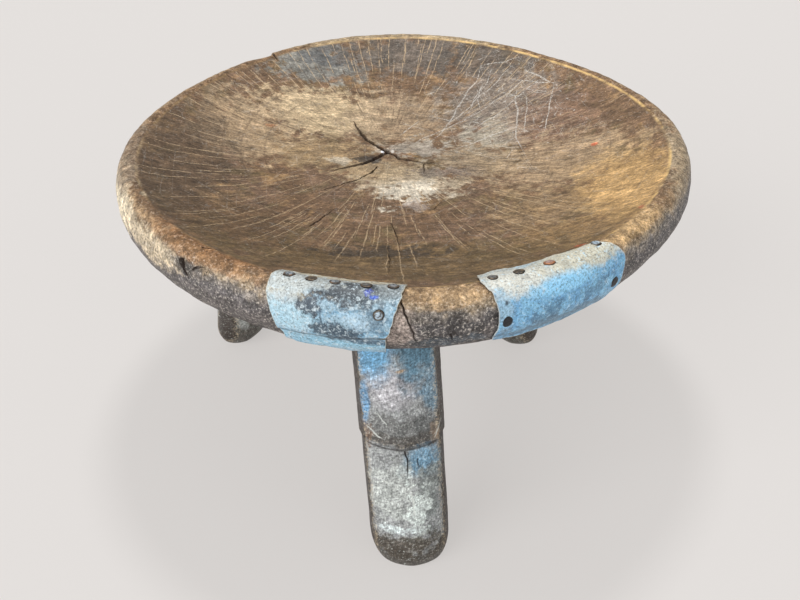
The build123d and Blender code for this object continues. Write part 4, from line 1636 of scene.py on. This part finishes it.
studio = {
    "floorColour": (227, 223, 220),
    "backdropColour": (229, 225, 222),
    "floorSize": 40.0,
    "glow": 0.64,  # share of the floor's colour that doesn't take the shadow
    "worldStrength": 0.36,
    # power in W, size and place in m, and the light it gives on the floor right below it
    "overhead": (4.5, 0.16, (0.0, 0.07, 1.1), 0.377),
    # strength, angle of softness and direction towards the light
    "suns": {"key": (2.1, 50.0, (-1.0, -0.9, 0.55)), "fill": (0.7, 60.0, (0.9, -1.0, 0.35))},
}


def areaLight(name, power, size, at):
    data = bpy.data.lights.new(name, "AREA")
    data.shape = "DISK"
    data.energy, data.size = power, size
    lamp = addObject(name, data)
    lamp.location = at
    lamp.rotation_euler = (Vector((0, 0, 0.15)) - Vector(at)).to_track_quat("-Z", "Y").to_euler()


def sunLight(name, strength, angle, towards):
    data = bpy.data.lights.new(name, "SUN")
    data.energy, data.angle = strength, math.radians(angle)
    lamp = addObject(name, data)
    lamp.rotation_euler = Vector(towards).to_track_quat("Z", "Y").to_euler()


def buildStudio():
    values = studio
    colour = linear(*values["floorColour"])
    half = values["floorSize"] / 2
    mesh = bpy.data.meshes.new("floor")
    corners = [(-half, -half, 0), (half, -half, 0), (half, half, 0), (-half, half, 0)]
    mesh.from_pydata(corners, [], [(0, 1, 2, 3)])
    floor = addObject("floor", mesh)
    material = bpy.data.materials.new("floorPaper")
    material.use_nodes = True
    tree = material.node_tree
    shader = tree.nodes["Principled BSDF"]
    shader.inputs["Base Color"].default_value = colour
    shader.inputs["Roughness"].default_value = 0.9
    shader.inputs["Specular IOR Level"].default_value = 0.1
    # the overhead lamp's light thins out away from it, and the glow makes up for that
    power, size, at, brightest = values["overhead"]
    place = addNode("TexCoord", {}, tree).outputs["Object"]
    away = lengthOf(vectorCalc("SUBTRACT", place, (at[0], at[1], 0.0)))
    spread = calc("DIVIDE", at[2] ** 2, calc("MULTIPLY_ADD", away, away, at[2] ** 2))
    missing = times(minus(1.0, calc("POWER", spread, 2.0)), brightest)
    lift = calc("MULTIPLY_ADD", missing, (1 - values["glow"]) / values["glow"], 1.0)
    glow = addNode("Emission", {"Color": colour, "Strength": lift})
    rays = addNode("LightPath", {}, tree).outputs
    mirrored = larger(rays["Is Glossy Ray"], rays["Is Transmission Ray"])
    seen = larger(rays["Is Camera Ray"], mirrored)
    glowShare = times(seen, values["glow"])
    mix = addNode("MixShader", {0: glowShare, 1: shader.outputs[0], 2: glow.outputs[0]})
    feed(tree.nodes["Material Output"].inputs["Surface"], mix.outputs[0])
    floor.data.materials.append(material)

    world = bpy.data.worlds.new("studioWorld")
    bpy.context.scene.world = world
    world.use_nodes = True
    tree = world.node_tree
    sky = tree.nodes["Background"]
    sky.inputs["Color"].default_value = (1.0, 1.0, 1.0, 1.0)
    sky.inputs["Strength"].default_value = values["worldStrength"]
    inputs = {"Color": linear(*values["backdropColour"]), "Strength": 1.0}
    backdrop = addNode("Background", inputs, tree)
    rays = addNode("LightPath", {}, tree).outputs
    mix = addNode("MixShader", {0: rays["Is Camera Ray"], 1: sky.outputs[0], 2: backdrop.outputs[0]})
    feed(tree.nodes["World Output"].inputs["Surface"], mix.outputs[0])

    areaLight("overhead", power, size, at)
    for name, (strength, angle, towards) in values["suns"].items():
        sunLight(name, strength, angle, towards)


view = {
    "at": (-3.474, -556.351, 515.568),
    "pitch": 37.0444,  # degrees below level
    "roll": -0.8576,
    "lens": 40.5,
    "sensor": 36.0,
}


def placeCamera():
    pitch, roll = math.radians(view["pitch"]), math.radians(view["roll"])
    forward = Vector((0, math.cos(pitch), -math.sin(pitch)))
    level, upright = Vector((1, 0, 0)), Vector((0, math.sin(pitch), math.cos(pitch)))
    right = level * math.cos(roll) + upright * math.sin(roll)
    up = upright * math.cos(roll) - level * math.sin(roll)
    data = bpy.data.cameras.new("camera")
    data.lens, data.sensor_width = view["lens"], view["sensor"]
    camera = addObject("camera", data)
    place = Matrix((right, up, -forward)).transposed().to_4x4()
    place.translation = Vector(view["at"]) * mm
    camera.matrix_world = place
    bpy.context.scene.camera = camera


buildStudio()
placeCamera()
bpy.context.scene.view_settings.view_transform = "Standard"
print("studio and camera set")
